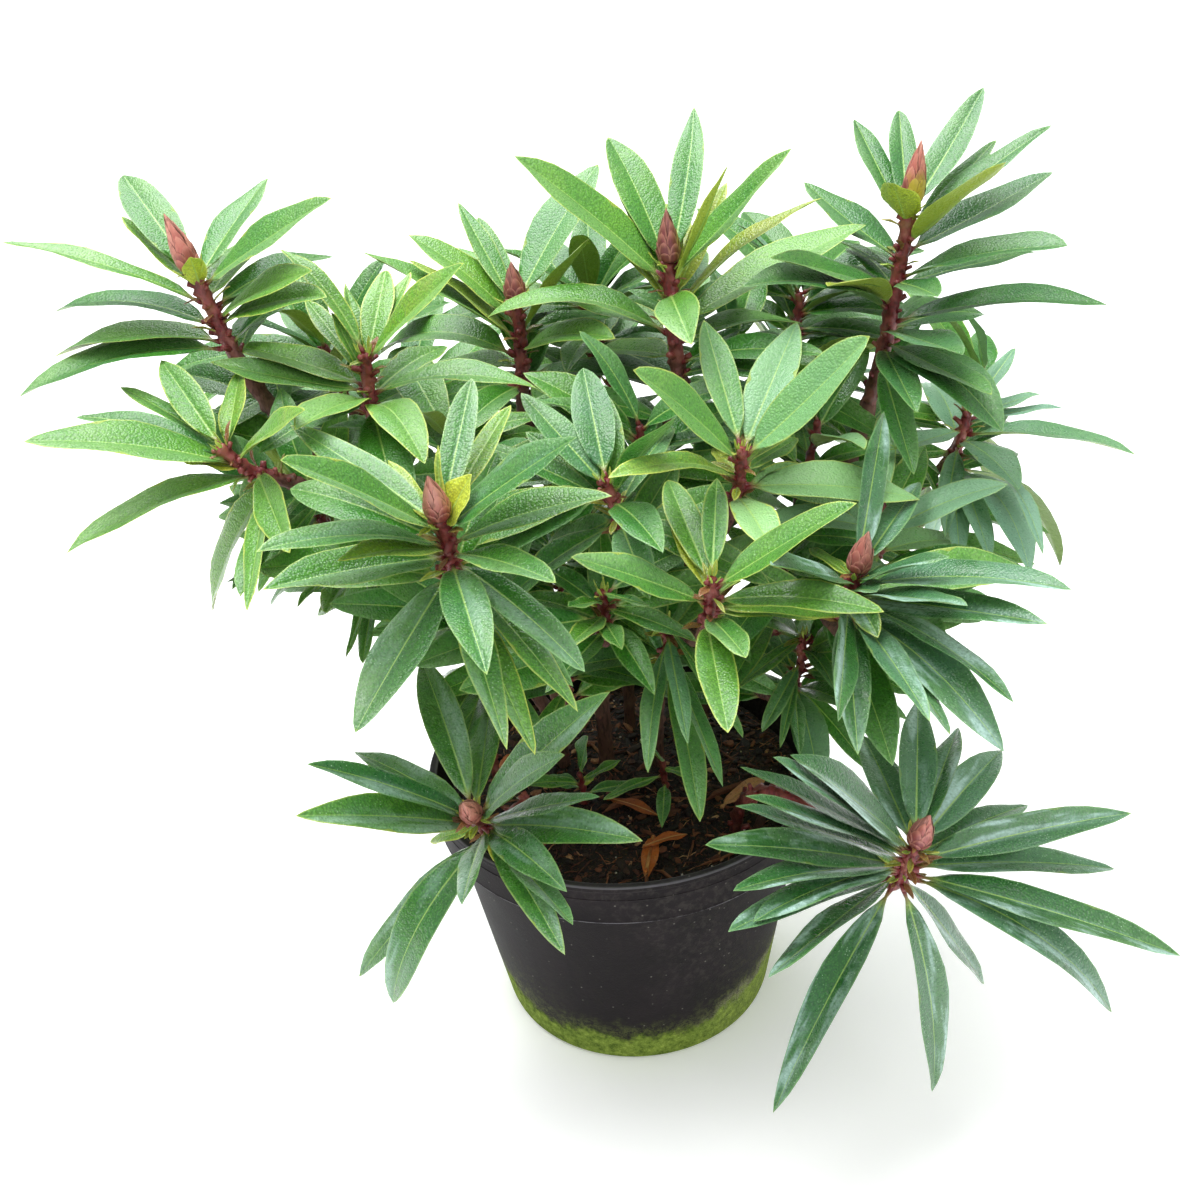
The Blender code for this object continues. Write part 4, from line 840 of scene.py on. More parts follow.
def leaf_traits(shoot, blade, rng):
    """Colour tone and wetness of a leaf, and whether its upper side is the one below in the CAD."""
    usual, wet = SHOOT_TONES.get(shoot, PLAIN_TONE)
    place = picture_place(blade.tip)
    notes = LEAF_TONES.get(shoot, {})
    note = nearest_note(place, notes, TIP_MATCH)
    tone = notes[note] if note else min(max(usual + rng.uniform(-0.10, 0.10), 0.0), 1.0)
    point, _, up = blade.frame(0.5)
    below = nearest_note(place, SEEN_FROM_BELOW.get(shoot, ()), CLOSE_MATCH)
    turned = shoot in SHOOT_TONES and not below and up.dot(EYE - point) < 0.0
    return tone, wet * (1.0 - smooth_step(0.50, 0.75, tone)), turned


# Settings.
class LeafSettings(bpy.types.PropertyGroup):
    """Form and colours of the leaves."""

    thickness: length_setting("Blade thickness", "Thickness of a leaf blade beside its midrib", 0.0007, 0.003)
    petiole: length_setting("Stalk radius", "Radius of a leaf stalk", 0.0012, 0.003)
    rib: length_setting("Rib height", "How far the midrib stands out below the blade", 0.0008, 0.003)
    wave: length_setting("Margin wave", "How far the leaf margin waves up and down", 0.0009, 0.003)
    vein_gap: length_setting("Vein spacing", "Distance between side veins along the midrib", 0.0052, 0.02)
    midrib: length_setting("Midrib width", "Half width of the pale midrib at the stalk", 0.00052, 0.003)
    margin: length_setting("Margin width", "Width of the pale line round a leaf", 0.00066, 0.003)
    dark: colour_setting("Dark leaf", "Colour of the darkest leaves", 28, 98, 38)
    middle: colour_setting("Middle leaf", "Colour of most leaves", 66, 140, 30)
    light: colour_setting("Light leaf", "Colour of the yellow-green leaves", 112, 172, 46)
    olive: colour_setting("Olive leaf", "Colour of young leaves", 160, 174, 44)
    young: colour_setting("Youngest leaf", "Colour of the leaves beside the buds", 196, 208, 56)
    under: colour_setting("Underside", "Colour of the lower side of a leaf", 146, 164, 56)
    vein: colour_setting("Midrib", "Colour of the midrib and leaf stalk", 160, 196, 104)
    edge: colour_setting("Leaf margin", "Colour of the line round a leaf", 202, 212, 96)
    # Bloom also stands in for the pale sheen of the sky on the leaves: painted sheen.
    bloom: colour_setting("Bloom", "Pale bloom in patches on a leaf", 172, 206, 146)
    # Water dots are painted pale as the glints of the drops.
    dew_glint: colour_setting("Dew", "Colour of the water dots", 206, 226, 210)
    stalk: colour_setting("Stalk foot", "Colour of a leaf stalk where it joins the stem", 116, 34, 40)


class WoodSettings(bpy.types.PropertyGroup):
    """Form and colours of stems and buds."""

    knob: length_setting("Knob height", "Height of the leaf scars on a stem", 0.0017, 0.003)
    step: length_setting("Ring spacing", "Distance between rings of a stem's mesh", 0.0012, 0.01)
    young: colour_setting("Young stem", "Colour of the stem below a bud", 122, 42, 46)
    bark: colour_setting("Bark", "Colour of old stems", 98, 66, 54)
    # Crack colour is partly the bark's own and partly painted shade in the cracks.
    crack_colour_and_shade: colour_setting("Bark cracks", "Colour of the cracks in old bark", 48, 29, 24)
    scar: colour_setting("Leaf scars", "Colour of old leaf scars", 142, 78, 66)
    bud: colour_setting("Bud scales", "Colour of the bud scales", 188, 108, 98)
    bud_edge: colour_setting("Bud scale bands", "Colour of the pale band near a scale's edge", 206, 142, 122)


class PotSettings(bpy.types.PropertyGroup):
    """Form and colours of the pot."""

    segments: bpy.props.IntProperty(name="Segments", description="Steps round the pot", default=128,
                                    min=24, max=256)
    plastic: colour_setting("Plastic", "Colour of the pot", 24, 20, 22)
    dust: colour_setting("Dust", "Colour of dust and scratches", 132, 128, 120)
    algae: colour_setting("Algae", "Colour of the green film at the foot", 126, 150, 60)
    algae_height: length_setting("Algae height", "How far up the green film reaches", 0.021, 0.16)


class SoilSettings(bpy.types.PropertyGroup):
    """Form and colours of the soil and what lies on it."""

    chips: bpy.props.IntProperty(name="Bark chips", description="Number of bark chips", default=1500,
                                 min=0, max=5000)
    fibres: bpy.props.IntProperty(name="Fibres", description="Number of loose fibres", default=620,
                                  min=0, max=2000)
    grains: bpy.props.IntProperty(name="Pale grains", description="Number of pale grains", default=50,
                                  min=0, max=1000)
    peat: colour_setting("Peat", "Colour of the soil", 34, 22, 18)
    crumb: colour_setting("Crumbs", "Colour of the light soil crumbs", 122, 74, 50)
    chip: colour_setting("Bark chips", "Colour of the bark chips", 132, 82, 54)
    dry_leaf: colour_setting("Dry leaf", "Colour of the dry leaves", 190, 98, 34)


class StageSettings(bpy.types.PropertyGroup):
    """Floor and light."""

    floor: colour_setting("Floor", "Colour of the floor", 250, 250, 250)
    floor_size: length_setting("Floor size", "Side of the square floor", 24.0, 60.0)
    surround: bpy.props.FloatProperty(name="Surround light", description="Strength of the white surround",
                                      default=0.70, min=0.0, max=5.0)
    soft: bpy.props.FloatProperty(name="Soft box", description="Power of the overhead soft box",
                                  default=24.0, min=0.0, max=500.0, unit="POWER")


# Finishes.
def leaf_finish(look):
    """Green leaf: pale midrib and margin, side veins, mottling, bloom and painted sheen, water dots painted
    as glints, and a paler underside.
    """
    f = Finish("leaf_green")
    across, along, margin = f.attribute("blade")
    tone, seed, side = f.attribute("trait")
    part, wet, cast = f.attribute("reach")
    spot = f.shifted(f.place(), f.vector(seed * 3.1, seed * 1.7, seed * 2.3))
    aside = abs(across)
    above = f.rise(side, -0.02, 0.02)

    # Side veins run outward and forward, with a little wander.
    wander = f.noise(130.0, 1.0, 0.5, spot)
    phase = (along - aside * 0.62 - aside * aside * 14.0) / look.vein_gap + wander * 1.5 + seed * 7.0
    swing = abs(f.math("FRACT", phase) - 0.5)
    vein = f.rise(swing, 0.34, 0.49)
    pebble = f.cells(860.0, spot)
    chance = f.node("ShaderNodeSeparateColor", inputs={0: pebble.out("Color")})

    # Body colour.
    patches = f.noise(42.0, 2.0, 0.6, spot)
    grain = f.noise(520.0, 1.0, 0.6, spot)
    shade = tone + (patches - 0.5) * 0.36 + (grain - 0.5) * 0.18
    body = f.ramp(shade, (0.0, look.dark), (0.36, look.middle), (0.60, look.light), (0.80, look.olive),
                  (1.0, look.young))
    body = f.mix(body, look.light, vein * 0.08)
    body = f.mix(body, paint(12, 48, 18), f.rise(pebble, 0.28, 0.62) * (0.32 + wet * 0.28))
    # Pale dots in the pebbled cells, mostly on wet leaves: painted glints of water.
    pale = f.rise(pebble, 0.26, 0.08) * f.rise(grain, 0.42, 0.60)
    body = f.mix(body, look.bloom, pale * (0.03 + wet * 0.26))
    # Painted sheen: pale patches towards the tip and over one half of each leaf, where the sky would shine on
    # it.
    tip_sheen_paint = f.rise(part + (patches - 0.5) * 0.7, 0.40, 1.05) * (0.08 + seed * 0.26)
    half_sheen_paint = f.rise(across * (seed - 0.5), -0.0002, 0.0012) * 0.24
    veil = (tip_sheen_paint + half_sheen_paint) * (1.0 - f.rise(tone, 0.52, 0.80) * 0.85)
    body = f.mix(body, look.bloom, veil * (0.45 + (grain - 0.5) * 0.8 + patches * 0.4))
    body = f.mix(body, paint(6, 82, 26), wet * 0.46)
    # Painted sheen: pale blue-white streaks along one half of the wetter leaves.
    streaks = f.noise(1.0, 3.0, 0.55, f.vector(across * 150.0, along * 24.0, seed * 40.0))
    painted_sheen = f.rise(streaks, 0.44, 0.66) * f.rise(across * (seed - 0.4), -0.0008, 0.0006)
    body = f.mix(body, paint(200, 230, 228), painted_sheen * f.rise(wet, 0.3, 1.0) * (0.70 + (grain - 0.5) * 1.0))
    # Pale bloom from a negative cast, which also paints in the pale sheen of the sky.
    bloom_sheen_tint = f.mix(paint(146, 190, 168), paint(158, 206, 146), f.rise(tone, 0.30, 0.50))
    body = f.mix(body, bloom_sheen_tint, f.rise(cast + (patches - 0.5) * 0.3, 0.05, -0.9) * 0.66)
    below = f.mix(look.under, body, 0.25 + f.rise(tone, 0.42, 0.20) * 0.45 + f.rise(tone, 0.86, 0.96) * 0.6)
    below = f.mix(below, look.vein, vein * 0.10)
    body = f.mix(below, body, above)

    # Fine water dots that gather in places, painted pale as the glints of the drops, and a dark wet film on
    # the wettest leaves.
    gather = f.rise(f.noise(75.0, 2.0, 0.6, spot), 0.46, 0.60)
    picked = f.rise(chance, 1.0 - wet * 0.42, 1.04 - wet * 0.42) * gather
    dot = f.rise(pebble, 0.30, 0.14) * picked * above
    body = f.mix(body, look.dew_glint, dot * 0.55)
    film = f.rise(patches, 0.60, 0.68) * wet * above
    body = f.mix(body, paint(8, 84, 20), film * 0.55)

    # Midrib, margin and stalk.
    rib_half = look.midrib * (1.15 - part)
    rib = f.rise(aside, rib_half * 1.5, rib_half * 0.5)
    body = f.mix(body, look.vein, rib * 0.75)
    line = f.rise(margin, look.margin * 1.7, look.margin * 0.3) * f.rise(part, 0.10, 0.16)
    border = f.mix(paint(132, 176, 112), look.edge, f.rise(tone, 0.24, 0.60))
    body = f.mix(body, border, line * (0.42 + f.rise(tone, 0.15, 0.60) * 0.26 + (patches - 0.5) * 0.8))
    stalk = f.ramp(part + (patches - 0.5) * 0.06, (0.06, look.stalk), (0.145, look.vein))
    body = f.mix(stalk, body, f.rise(part, 0.09, 0.16))
    body = f.mix(body, paint(126, 56, 48), f.rise(cast + (grain - 0.5) * 0.3, 0.2, 0.8) * 0.85)

    # Relief.
    sunk_veins = f.rise(swing, 0.10, 0.49) * -0.18
    height = sunk_veins + f.rise(aside, 0.0, 0.0020) * 0.5 - pebble * 0.75 + grain * 0.3
    normal = f.bump(height, 0.00055, 0.8)
    rough = 0.30 - film * 0.20 + (grain - 0.5) * 0.16 + (1.0 - above) * 0.14
    f.shader.inputs["Coat Roughness"].default_value = 0.24
    f.shader.inputs["Specular IOR Level"].default_value = 0.46
    f.shader.inputs["Sheen Weight"].default_value = 0.03
    f.shader.inputs["Sheen Roughness"].default_value = 0.45
    f.shader.inputs["Sheen Tint"].default_value = (0.86, 0.95, 1.0, 1.0)
    return f.done(Base_Color=body, Roughness=rough, Normal=normal,
                  Coat_Weight=(0.08 + wet * 0.10 + film * 0.5) * above)


def young_stem_finish(look):
    """This year's stem: dark red and knobby, a little glossy, with pale patches of painted highlight."""
    f = Finish("young_stem")
    _, scar, age = f.attribute("bark")
    grain = f.noise(420.0, 4.0, 0.6)
    wide = f.noise(90.0, 2.0, 0.5)
    body = f.mix(look.young, look.bark, f.rise(age + (wide - 0.5) * 0.5, 0.55, 1.0))
    body = f.mix(body, paint(70, 24, 26), f.rise(grain, 0.42, 0.66) * 0.75)
    # Painted highlights: pale patches by noise.
    body = f.mix(body, paint(182, 100, 92), f.rise(wide, 0.48, 0.64) * 0.42)
    body = f.mix(body, look.scar, f.rise(scar, 0.35, 0.9) * 0.65)
    green = f.rise(wide, 0.60, 0.74) * (1.0 - age)
    body = f.mix(body, paint(150, 130, 70), green * 0.35)
    normal = f.bump(grain + wide * 0.5, 0.0009, 0.8)
    return f.done(Base_Color=body, Roughness=0.42 + (grain - 0.5) * 0.3, Normal=normal)


def bark_finish(look):
    """Old bark: brown with dark cracks along the stem, their darkness partly the bark's own and partly
    painted shade, and redder where a branch nears its shoot.
    """
    f = Finish("old_bark")
    _, scar, nearness = f.attribute("bark")
    stretched = f.scaled(f.place(), (1.0, 1.0, 0.22))
    cracks = f.noise(520.0, 4.0, 0.65, stretched)
    wide = f.noise(70.0, 3.0, 0.55)
    # The cracks are darkened partly as the bark's own colour and partly as painted shade.
    body = f.mix(look.bark, look.crack_colour_and_shade, f.rise(cracks, 0.48, 0.62) * 0.8)
    body = f.mix(body, paint(142, 110, 92), f.rise(wide, 0.50, 0.72) * 0.5)
    body = f.mix(body, look.scar, f.rise(scar, 0.4, 0.9) * 0.35)
    body = f.mix(body, look.young, f.rise(nearness, 0.70, 1.0) * 0.45)
    normal = f.bump(cracks * 0.8 + wide * 0.6, 0.0016, 0.9)
    return f.done(Base_Color=body, Roughness=0.80 - (wide - 0.5) * 0.2, Normal=normal)


def bud_finish(look):
    """Bud scales: rose-brown with a pale band inside a dark border of painted shade, painted shade on the
    lower part of each scale where the scales overlap, and fine lengthwise lines.
    """
    f = Finish("bud_scale")
    across, along, level = f.attribute("scale")
    seed, tint, purple = f.attribute("trait")
    lines = f.noise(700.0, 3.0, 0.6, f.scaled(f.place(), (1.0, 1.0, 0.35)))
    cloud = f.noise(150.0, 3.0, 0.5)
    band = f.rise(abs(across), 0.50, 0.80)
    border = f.rise(abs(across), 0.84, 0.97)
    body = f.ramp(level * 0.8 + (cloud - 0.5) * 0.3 + (seed - 0.4) * 0.7,
                  (0.0, paint(128, 54, 56)), (0.45, look.bud), (1.0, paint(232, 170, 152)))
    body = f.mix(body, paint(96, 38, 50), f.rise(purple + (seed - 0.5) * 0.5, 0.05, 1.05) * 0.85)
    body = f.mix(body, look.bud_edge, f.math("MAXIMUM", band, f.rise(along, 0.70, 0.95)) * 0.42)
    olive = f.rise(tint * (1.3 - level) + (cloud - 0.5) * 0.4 + (seed - 0.5) * 0.5, 0.36, 0.70)
    body = f.mix(body, paint(186, 172, 62), olive * 0.8)
    body = f.mix(body, paint(84, 34, 32), f.rise(lines, 0.52, 0.70) * 0.4)
    # Painted shade on the lower part of each scale, where the scales overlap.
    body = f.mix(body, paint(60, 20, 24), f.rise(along, 0.42, 0.10) * 0.7)
    # Painted shade along each scale's edge, in the gap to the next scale.
    body = f.mix(body, paint(70, 24, 28), border * 0.75)
    normal = f.bump(lines + cloud * 0.5, 0.0006, 0.7)
    return f.done(Base_Color=body, Roughness=0.42 + (cloud - 0.5) * 0.2, Normal=normal)


def dry_leaf_finish(look):
    """Dry fallen leaf: orange-brown and blotched."""
    f = Finish("dry_leaf_brown")
    across, _, _ = f.attribute("blade")
    tone, _, _ = f.attribute("trait")
    cloud = f.noise(160.0, 4.0, 0.6)
    fine = f.noise(900.0, 3.0, 0.6)
    body = f.ramp(tone + (cloud - 0.5) * 0.5, (0.0, paint(96, 46, 30)), (0.5, look.dry_leaf),
                  (1.0, paint(206, 150, 110)))
    body = f.mix(body, paint(74, 38, 26), f.rise(fine, 0.52, 0.70) * 0.5)
    rib = f.rise(abs(across), 0.0007, 0.0002)
    body = f.mix(body, paint(214, 160, 104), rib * 0.7)
    normal = f.bump(cloud * 0.8 + fine * 0.4 - rib * 0.5, 0.0010, 0.9)
    return f.done(Base_Color=body, Roughness=0.62 + (fine - 0.5) * 0.2, Normal=normal)


def pot_finish(look):
    """Dark moulded plastic with dust, scratches, a green film that rises from the foot, and painted
    highlights along the lip and the foot of the rim band.
    """
    f = Finish("pot_plastic")
    place = f.place()
    parts = f.node("ShaderNodeSeparateXYZ", inputs={0: place})
    x, z = parts, parts.out("Z")
    wide = f.noise(26.0, 4.0, 0.62)
    rough = f.noise(240.0, 4.0, 0.7)
    grit = f.noise(1300.0, 2.0, 0.6)
    smear = f.noise(60.0, 4.0, 0.6, f.scaled(place, (1.0, 1.0, 0.28)))
    body = f.mix(look.plastic, paint(38, 32, 35), f.rise(wide, 0.40, 0.70) * 0.6)
    body = f.mix(body, paint(17, 15, 18), f.rise(smear, 0.50, 0.75) * 0.5)
    specks = f.cells(360.0)
    chance = f.node("ShaderNodeSeparateColor", inputs={0: f.cells(360.0, output="Color")})
    speck = f.rise(specks, 0.26, 0.08) * f.rise(chance, 0.90, 0.93)
    veil = f.rise(x + z * 0.5 + (wide - 0.5) * 0.08, 0.030, 0.085) * f.rise(rough, 0.44, 0.66)
    body = f.mix(body, look.dust, speck * 0.5 + veil * 0.10)

    level = look.algae_height + abs(x) * abs(x) * 2.2 + x * 0.05
    streak = f.noise(150.0, 3.0, 0.6, f.scaled(place, (1.0, 1.0, 0.45)))
    ragged = z + (streak - 0.5) * 0.018 + (wide - 0.5) * 0.030 + (grit - 0.5) * 0.016 - level
    film = f.rise(ragged, 0.0040, -0.0040)
    fringe = f.rise(ragged, 0.020, 0.0) * f.rise(rough * 0.6 + grit * 0.6, 0.50, 0.72)
    moss = f.ramp(rough + (grit - 0.5) * 0.4, (0.25, paint(78, 102, 30)), (0.52, look.algae),
                  (0.80, paint(168, 186, 84)))
    pale = f.rise(ragged, 0.010, 0.0) * f.rise(x, 0.020, 0.060)
    dusty = f.rise(z, 0.085, 0.020) * f.rise(abs(x), 0.030, 0.090) * f.rise(grit + (rough - 0.5), 0.48, 0.70)
    body = f.mix(body, paint(112, 122, 62), fringe * 0.50 + dusty * 0.36)
    body = f.mix(body, paint(178, 176, 142), pale * f.rise(grit, 0.35, 0.60) * 0.55)
    body = f.mix(body, moss, film * (0.80 + (rough - 0.5) * 0.6))
    # Painted highlights: pale lines along the lip and along the foot of the rim band, broken in places.
    lip = f.rise(abs(z - (POT_HEIGHT - 0.0006)), 0.0008, 0.0002)
    seam = f.rise(abs(z - (POT_HEIGHT - RIM_BAND + 0.0004)), 0.0007, 0.0002)
    broken_line = f.rise(smear + (rough - 0.5) * 0.6, 0.38, 0.58)
    body = f.mix(body, paint(126, 124, 130), lip * 0.5 + seam * broken_line * 0.55)
    normal = f.bump(grit * 0.25 + rough * 0.3 + film * (rough + grit + 0.6), 0.0008, 0.7)
    shine = 0.58 + (wide - 0.5) * 0.2 + film * 0.35 + veil * 0.2
    f.shader.inputs["Specular IOR Level"].default_value = 0.10
    return f.done(Base_Color=body, Roughness=shine, Normal=normal)


def soil_finish(look):
    """Dark damp peat with light crumbs."""
    f = Finish("soil_peat")
    cloud = f.noise(110.0, 5.0, 0.65)
    crumbs = f.cells(420.0)
    fine = f.noise(900.0, 3.0, 0.7)
    body = f.mix(look.peat, paint(22, 14, 12), f.rise(cloud, 0.40, 0.62))
    body = f.mix(body, look.crumb, f.rise(fine + (0.5 - crumbs) * 0.4, 0.56, 0.76) * 0.8)
    normal = f.bump(cloud + fine * 0.5 - crumbs * 0.8, 0.0030, 1.0)
    return f.done(Base_Color=body, Roughness=0.82 - f.rise(cloud, 0.55, 0.75) * 0.35, Normal=normal)


def chip_finish(look):
    """Bark chips, fibres and crumbs, from near black over red-brown to tan."""
    f = Finish("bark_chip")
    tone, seed, _ = f.attribute("trait")
    grain = f.noise(600.0, 4.0, 0.6, f.shifted(f.place(), f.vector(seed, seed * 2.0, seed * 3.0)))
    body = f.ramp(tone + (grain - 0.5) * 0.35, (0.0, paint(20, 13, 11)), (0.35, paint(58, 32, 24)),
                  (0.66, paint(104, 58, 38)), (0.88, look.chip), (1.0, paint(188, 148, 110)))
    normal = f.bump(grain, 0.0012, 0.9)
    return f.done(Base_Color=body, Roughness=0.70 + (grain - 0.5) * 0.3, Normal=normal)


def grain_finish():
    """Pale mineral grains."""
    f = Finish("pale_grain")
    grain = f.noise(1500.0, 3.0, 0.6)
    body = f.ramp(grain, (0.3, paint(150, 140, 126)), (0.7, paint(224, 218, 206)))
    return f.done(Base_Color=body, Roughness=0.55 + (grain - 0.5) * 0.3, Normal=f.bump(grain, 0.0006, 0.8))


def floor_finish(colour):
    """Plain pale floor that also glows a little, lighting the plant from below and paling the shadows."""
    f = Finish("pale_floor")
    cloud = f.noise(3.0, 2.0, 0.5)
    body = f.mix(colour, paint(250, 250, 250), cloud * 0.3)
    # The floor glows a little: painted light that lights the plant from below and pales its shadows.
    f.shader.inputs["Emission Color"].default_value = (1.0, 1.0, 1.0, 1.0)
    f.shader.inputs["Emission Strength"].default_value = 0.16
    return f.done(Base_Color=body, Roughness=0.85 + (cloud - 0.5) * 0.05)


# Parts of the plant.
SimpleLook = collections.namedtuple("SimpleLook", ("thickness", "petiole", "rib", "wave"))


def add_leaf(skin, blade, look, traits, rng, cast=0.0):
    """One leaf: a round stalk that widens into a folded blade with a rib below.

    A cast above 0 browns the leaf and one below 0 covers it with pale bloom, which also paints in the sheen
    of the sky.
    """
    tone, wet, turned = traits
    seed = rng.random()
    swing = rng.uniform(0.0, 6.28)
    beat = rng.uniform(9.0, 13.0)
    curl = rng.uniform(-0.5, 1.0)
    columns = len(LEAF_COLUMNS) - 1

    def place(i, j):
        t = LEAF_STATIONS[j]
        upper_side = i <= columns
        s = LEAF_COLUMNS[i] if upper_side else LEAF_COLUMNS[2 * columns - i]
        facing = 0.0 if abs(s) == 1.0 else (1.0 if upper_side else -1.0)
        point, across, up = blade.frame(t)
        if turned:
            across, up = -across, -up
        grown = smooth_step(0.05, 0.15, t)
        round_half = look.petiole * (1.9 - 1.1 * smooth_step(0.0, 0.085, t))
        half = max(blade.half_at(t), 0.0)
        ending = 1.0 - smooth_step(0.90, 1.0, t)
        closing = 0.0 if t in (0.0, 1.0) else 1.0
        turn = math.pi * (1.0 - (s + 1.0) * 0.5) * (1.0 if upper_side else -1.0)
        stalk_x, stalk_z = round_half * math.cos(turn), round_half * math.sin(turn)
        thick = look.thickness * 0.5 * (1.0 - 0.45 * abs(s)) * (0.35 + 0.65 * ending)
        lift = FOLD * 1.25 * half * (math.sqrt(s * s + 0.02) - 0.10) * (TURNED_FOLD if turned else 1.0)
        crown = 0.10 * half * (abs(s) - s * s) * 2.0
        wave = look.wave * s * s * math.sin(beat * t + swing + (1.3 if s > 0 else 0.0)) * grown * ending
        roll = -0.03 * half * smooth_step(0.6, 1.0, abs(s)) * (1.0 + curl)
        blade_z = lift + crown + wave + roll + facing * thick
        if s == 0.0 and not upper_side:
            blade_z -= look.rib * (1.0 - t) * grown
        if s == 0.0 and upper_side:
            blade_z -= 0.00015
        wide = max(half, round_half * (1.0 - grown)) * grown
        x = spread(stalk_x, wide * s, grown) * closing
        z = spread(stalk_z, blade_z, grown) * closing
        vectors = {
            "blade": (x, t * blade.length, half * (1.0 - abs(s)) + (0.004 if t < 0.12 else 0.0)),
            "trait": (tone, seed, facing),
            "reach": (t, wet, cast),
        }
        return point + across * x + up * z, vectors

    corners = skin.wrap(LEAF_AROUND, len(LEAF_STATIONS) - 1, place)
    trait, reach = skin.layers["trait"], skin.layers["reach"]
    for edge in {edge for corner in corners for edge in corner.link_edges}:
        edge.smooth = any(end[trait].z != 0.0 or end[reach].x < 0.15 for end in edge.verts)


def add_stem(skin, path, look, rng, sides, ages, scars, material=0, top=1.0, slim=1.0):
    """A stem along a path, with leaf scars in a spiral and a slightly uneven surface.

    The two ages go to the finish, which blends from one end of the stem to the other.
    """
    rings = max(int(path.length / look.step), 4)
    distances = [0.0] + [path.length * j / rings for j in range(rings + 1)] + [path.length]
    knobs = []
    for k in range(scars):
        knobs.append((k * GOLDEN_ANGLE + rng.uniform(-0.3, 0.3), path.length * (k + 0.6) / scars,
                      look.knob * rng.uniform(0.5, 1.3)))
    side = path.at(0.0)[1].orthogonal().normalized()
    frames = []
    for distance in distances:
        point, direction, radius = path.at(distance)
        side = square_to(direction, side)
        frames.append((point, radius, side, direction.cross(side)))
    offset = Vector((rng.uniform(0.0, 50.0), 0.0, 0.0))

    def place(i, j):
        point, radius, side, fore = frames[j]
        distance = distances[j]
        turn = 2.0 * math.pi * i / sides
        bump = 0.0
        for angle, height, size in knobs:
            if abs(distance - height) < 0.006:
                gap = (turn - angle + math.pi) % (2.0 * math.pi) - math.pi
                bump += size * math.exp(-((distance - height) / 0.0017) ** 2 - (gap * radius / 0.0019) ** 2)
        out = round_axis(side, fore, turn)
        uneven = noise.noise((point + out * radius) * 260.0 + offset) * 0.20 * radius
        size = 0.0 if j in (0, rings + 2) else radius * slim + bump + uneven
        if j == 1:
            size *= top
        age = spread(ages[0], ages[1], distance / path.length)
        return point + out * size, {"bark": (distance, min(bump / look.knob, 1.0), age)}

    skin.wrap(sides, rings + 2, place, material)


def add_bracts(skin, path, look, rng, budded):
    """Small pointed leaves round the end of a shoot: outside its bud, or closing its tip."""
    top, direction, radius = path.at(0.0)
    axis = -direction
    side = axis.orthogonal().normalized()
    fore = axis.cross(side)
    slim = SimpleLook(look.thickness * 0.7, look.petiole * 0.5, look.rib * 0.3, look.wave * 0.2)
    for k in range(BUD_BRACTS if budded else TIP_BRACTS):
        out = round_axis(side, fore, k * GOLDEN_ANGLE + rng.uniform(-0.3, 0.3))
        lean = math.radians(rng.uniform(34.0, 56.0) if budded else rng.uniform(4.0, 34.0))
        length = rng.uniform(0.007, 0.013) if budded else rng.uniform(0.005, 0.012)
        root = top - axis * (0.0022 + 0.0006 * k) + out * radius * (0.8 if budded else 0.3)
        tip = root + (axis * math.cos(lean) + out * math.sin(lean)) * length
        up = square_to((tip - root).normalized(), axis)
        blade = grown_blade(root, tip, -up * (0.06 * length), up, length * rng.uniform(0.17, 0.25))
        add_leaf(skin, blade, slim, (rng.uniform(0.62, 0.95), 0.1, False), rng)


def way_out(path, distance, turn):
    """Point, direction and radius of a path, and the way out from it at a turn round it."""
    point, direction, radius = path.at(distance)
    side = direction.orthogonal().normalized()
    return point, direction, radius, round_axis(side, direction.cross(side), turn)


def add_straps(skin, path, look, rng, count):
    """Narrow red-brown bracts standing out between the leaf stalks."""
    slim = SimpleLook(look.thickness * 0.7, look.petiole * 0.9, look.rib * 0.3, look.wave * 0.3)
    for k in range(count):
        distance = min(path.length, STRAP_ZONE) * (k + rng.random()) / count
        turn = k * GOLDEN_ANGLE + rng.uniform(-0.4, 0.4)
        point, direction, radius, out = way_out(path, distance, turn)
        lean = math.radians(rng.uniform(48.0, 88.0))
        length = rng.uniform(0.007, 0.015)
        root = point + out * radius * 0.6
        tip = root + (out * math.sin(lean) - direction * math.cos(lean)) * length
        up = square_to((tip - root).normalized(), -direction)
        blade = grown_blade(root, tip, up * (0.05 * length), up, length * rng.uniform(0.20, 0.34))
        add_leaf(skin, blade, slim, (rng.uniform(0.5, 0.9), 0.1, False), rng, rng.uniform(0.2, 1.0))


def add_stubs(skin, path, rng, count, material):
    """Feet of fallen leaf stalks, standing out from a stem."""
    for k in range(count):
        distance = path.length * (k + rng.uniform(0.3, 0.7)) / count
        turn = k * GOLDEN_ANGLE * 1.5 + rng.uniform(-0.4, 0.4)
        point, direction, radius, out = way_out(path, distance, turn)
        heading = (out - direction * rng.uniform(0.25, 0.7)).normalized()
        reach = radius + rng.uniform(0.0014, 0.0048)
        across = heading.orthogonal().normalized()
        beside = heading.cross(across)
        thin = rng.uniform(0.0010, 0.0018)

        def place(i, j):
            size = thin * STUB_SIZES[j]
            part = (0.5 * radius, 0.5 * radius, spread(radius, reach, 0.4), reach, reach)[j]
            spot = point + heading * part + round_axis(across, beside, math.pi * i / 3) * size
            return spot, {"bark": (0.0, 0.6 if j > 2 else 0.2, 0.2)}

        skin.wrap(6, len(STUB_SIZES) - 1, place, material)


# Curve of a bud's side: part of its length, and part of its full radius.
BUD_CURVE = [Vector(point) for point in ((0.0, 0.58), (0.08, 0.98), (0.38, 1.22), (0.70, 0.48), (1.0, 0.03))]
BUD_STEPS = 40
BUD_HALVINGS = 18


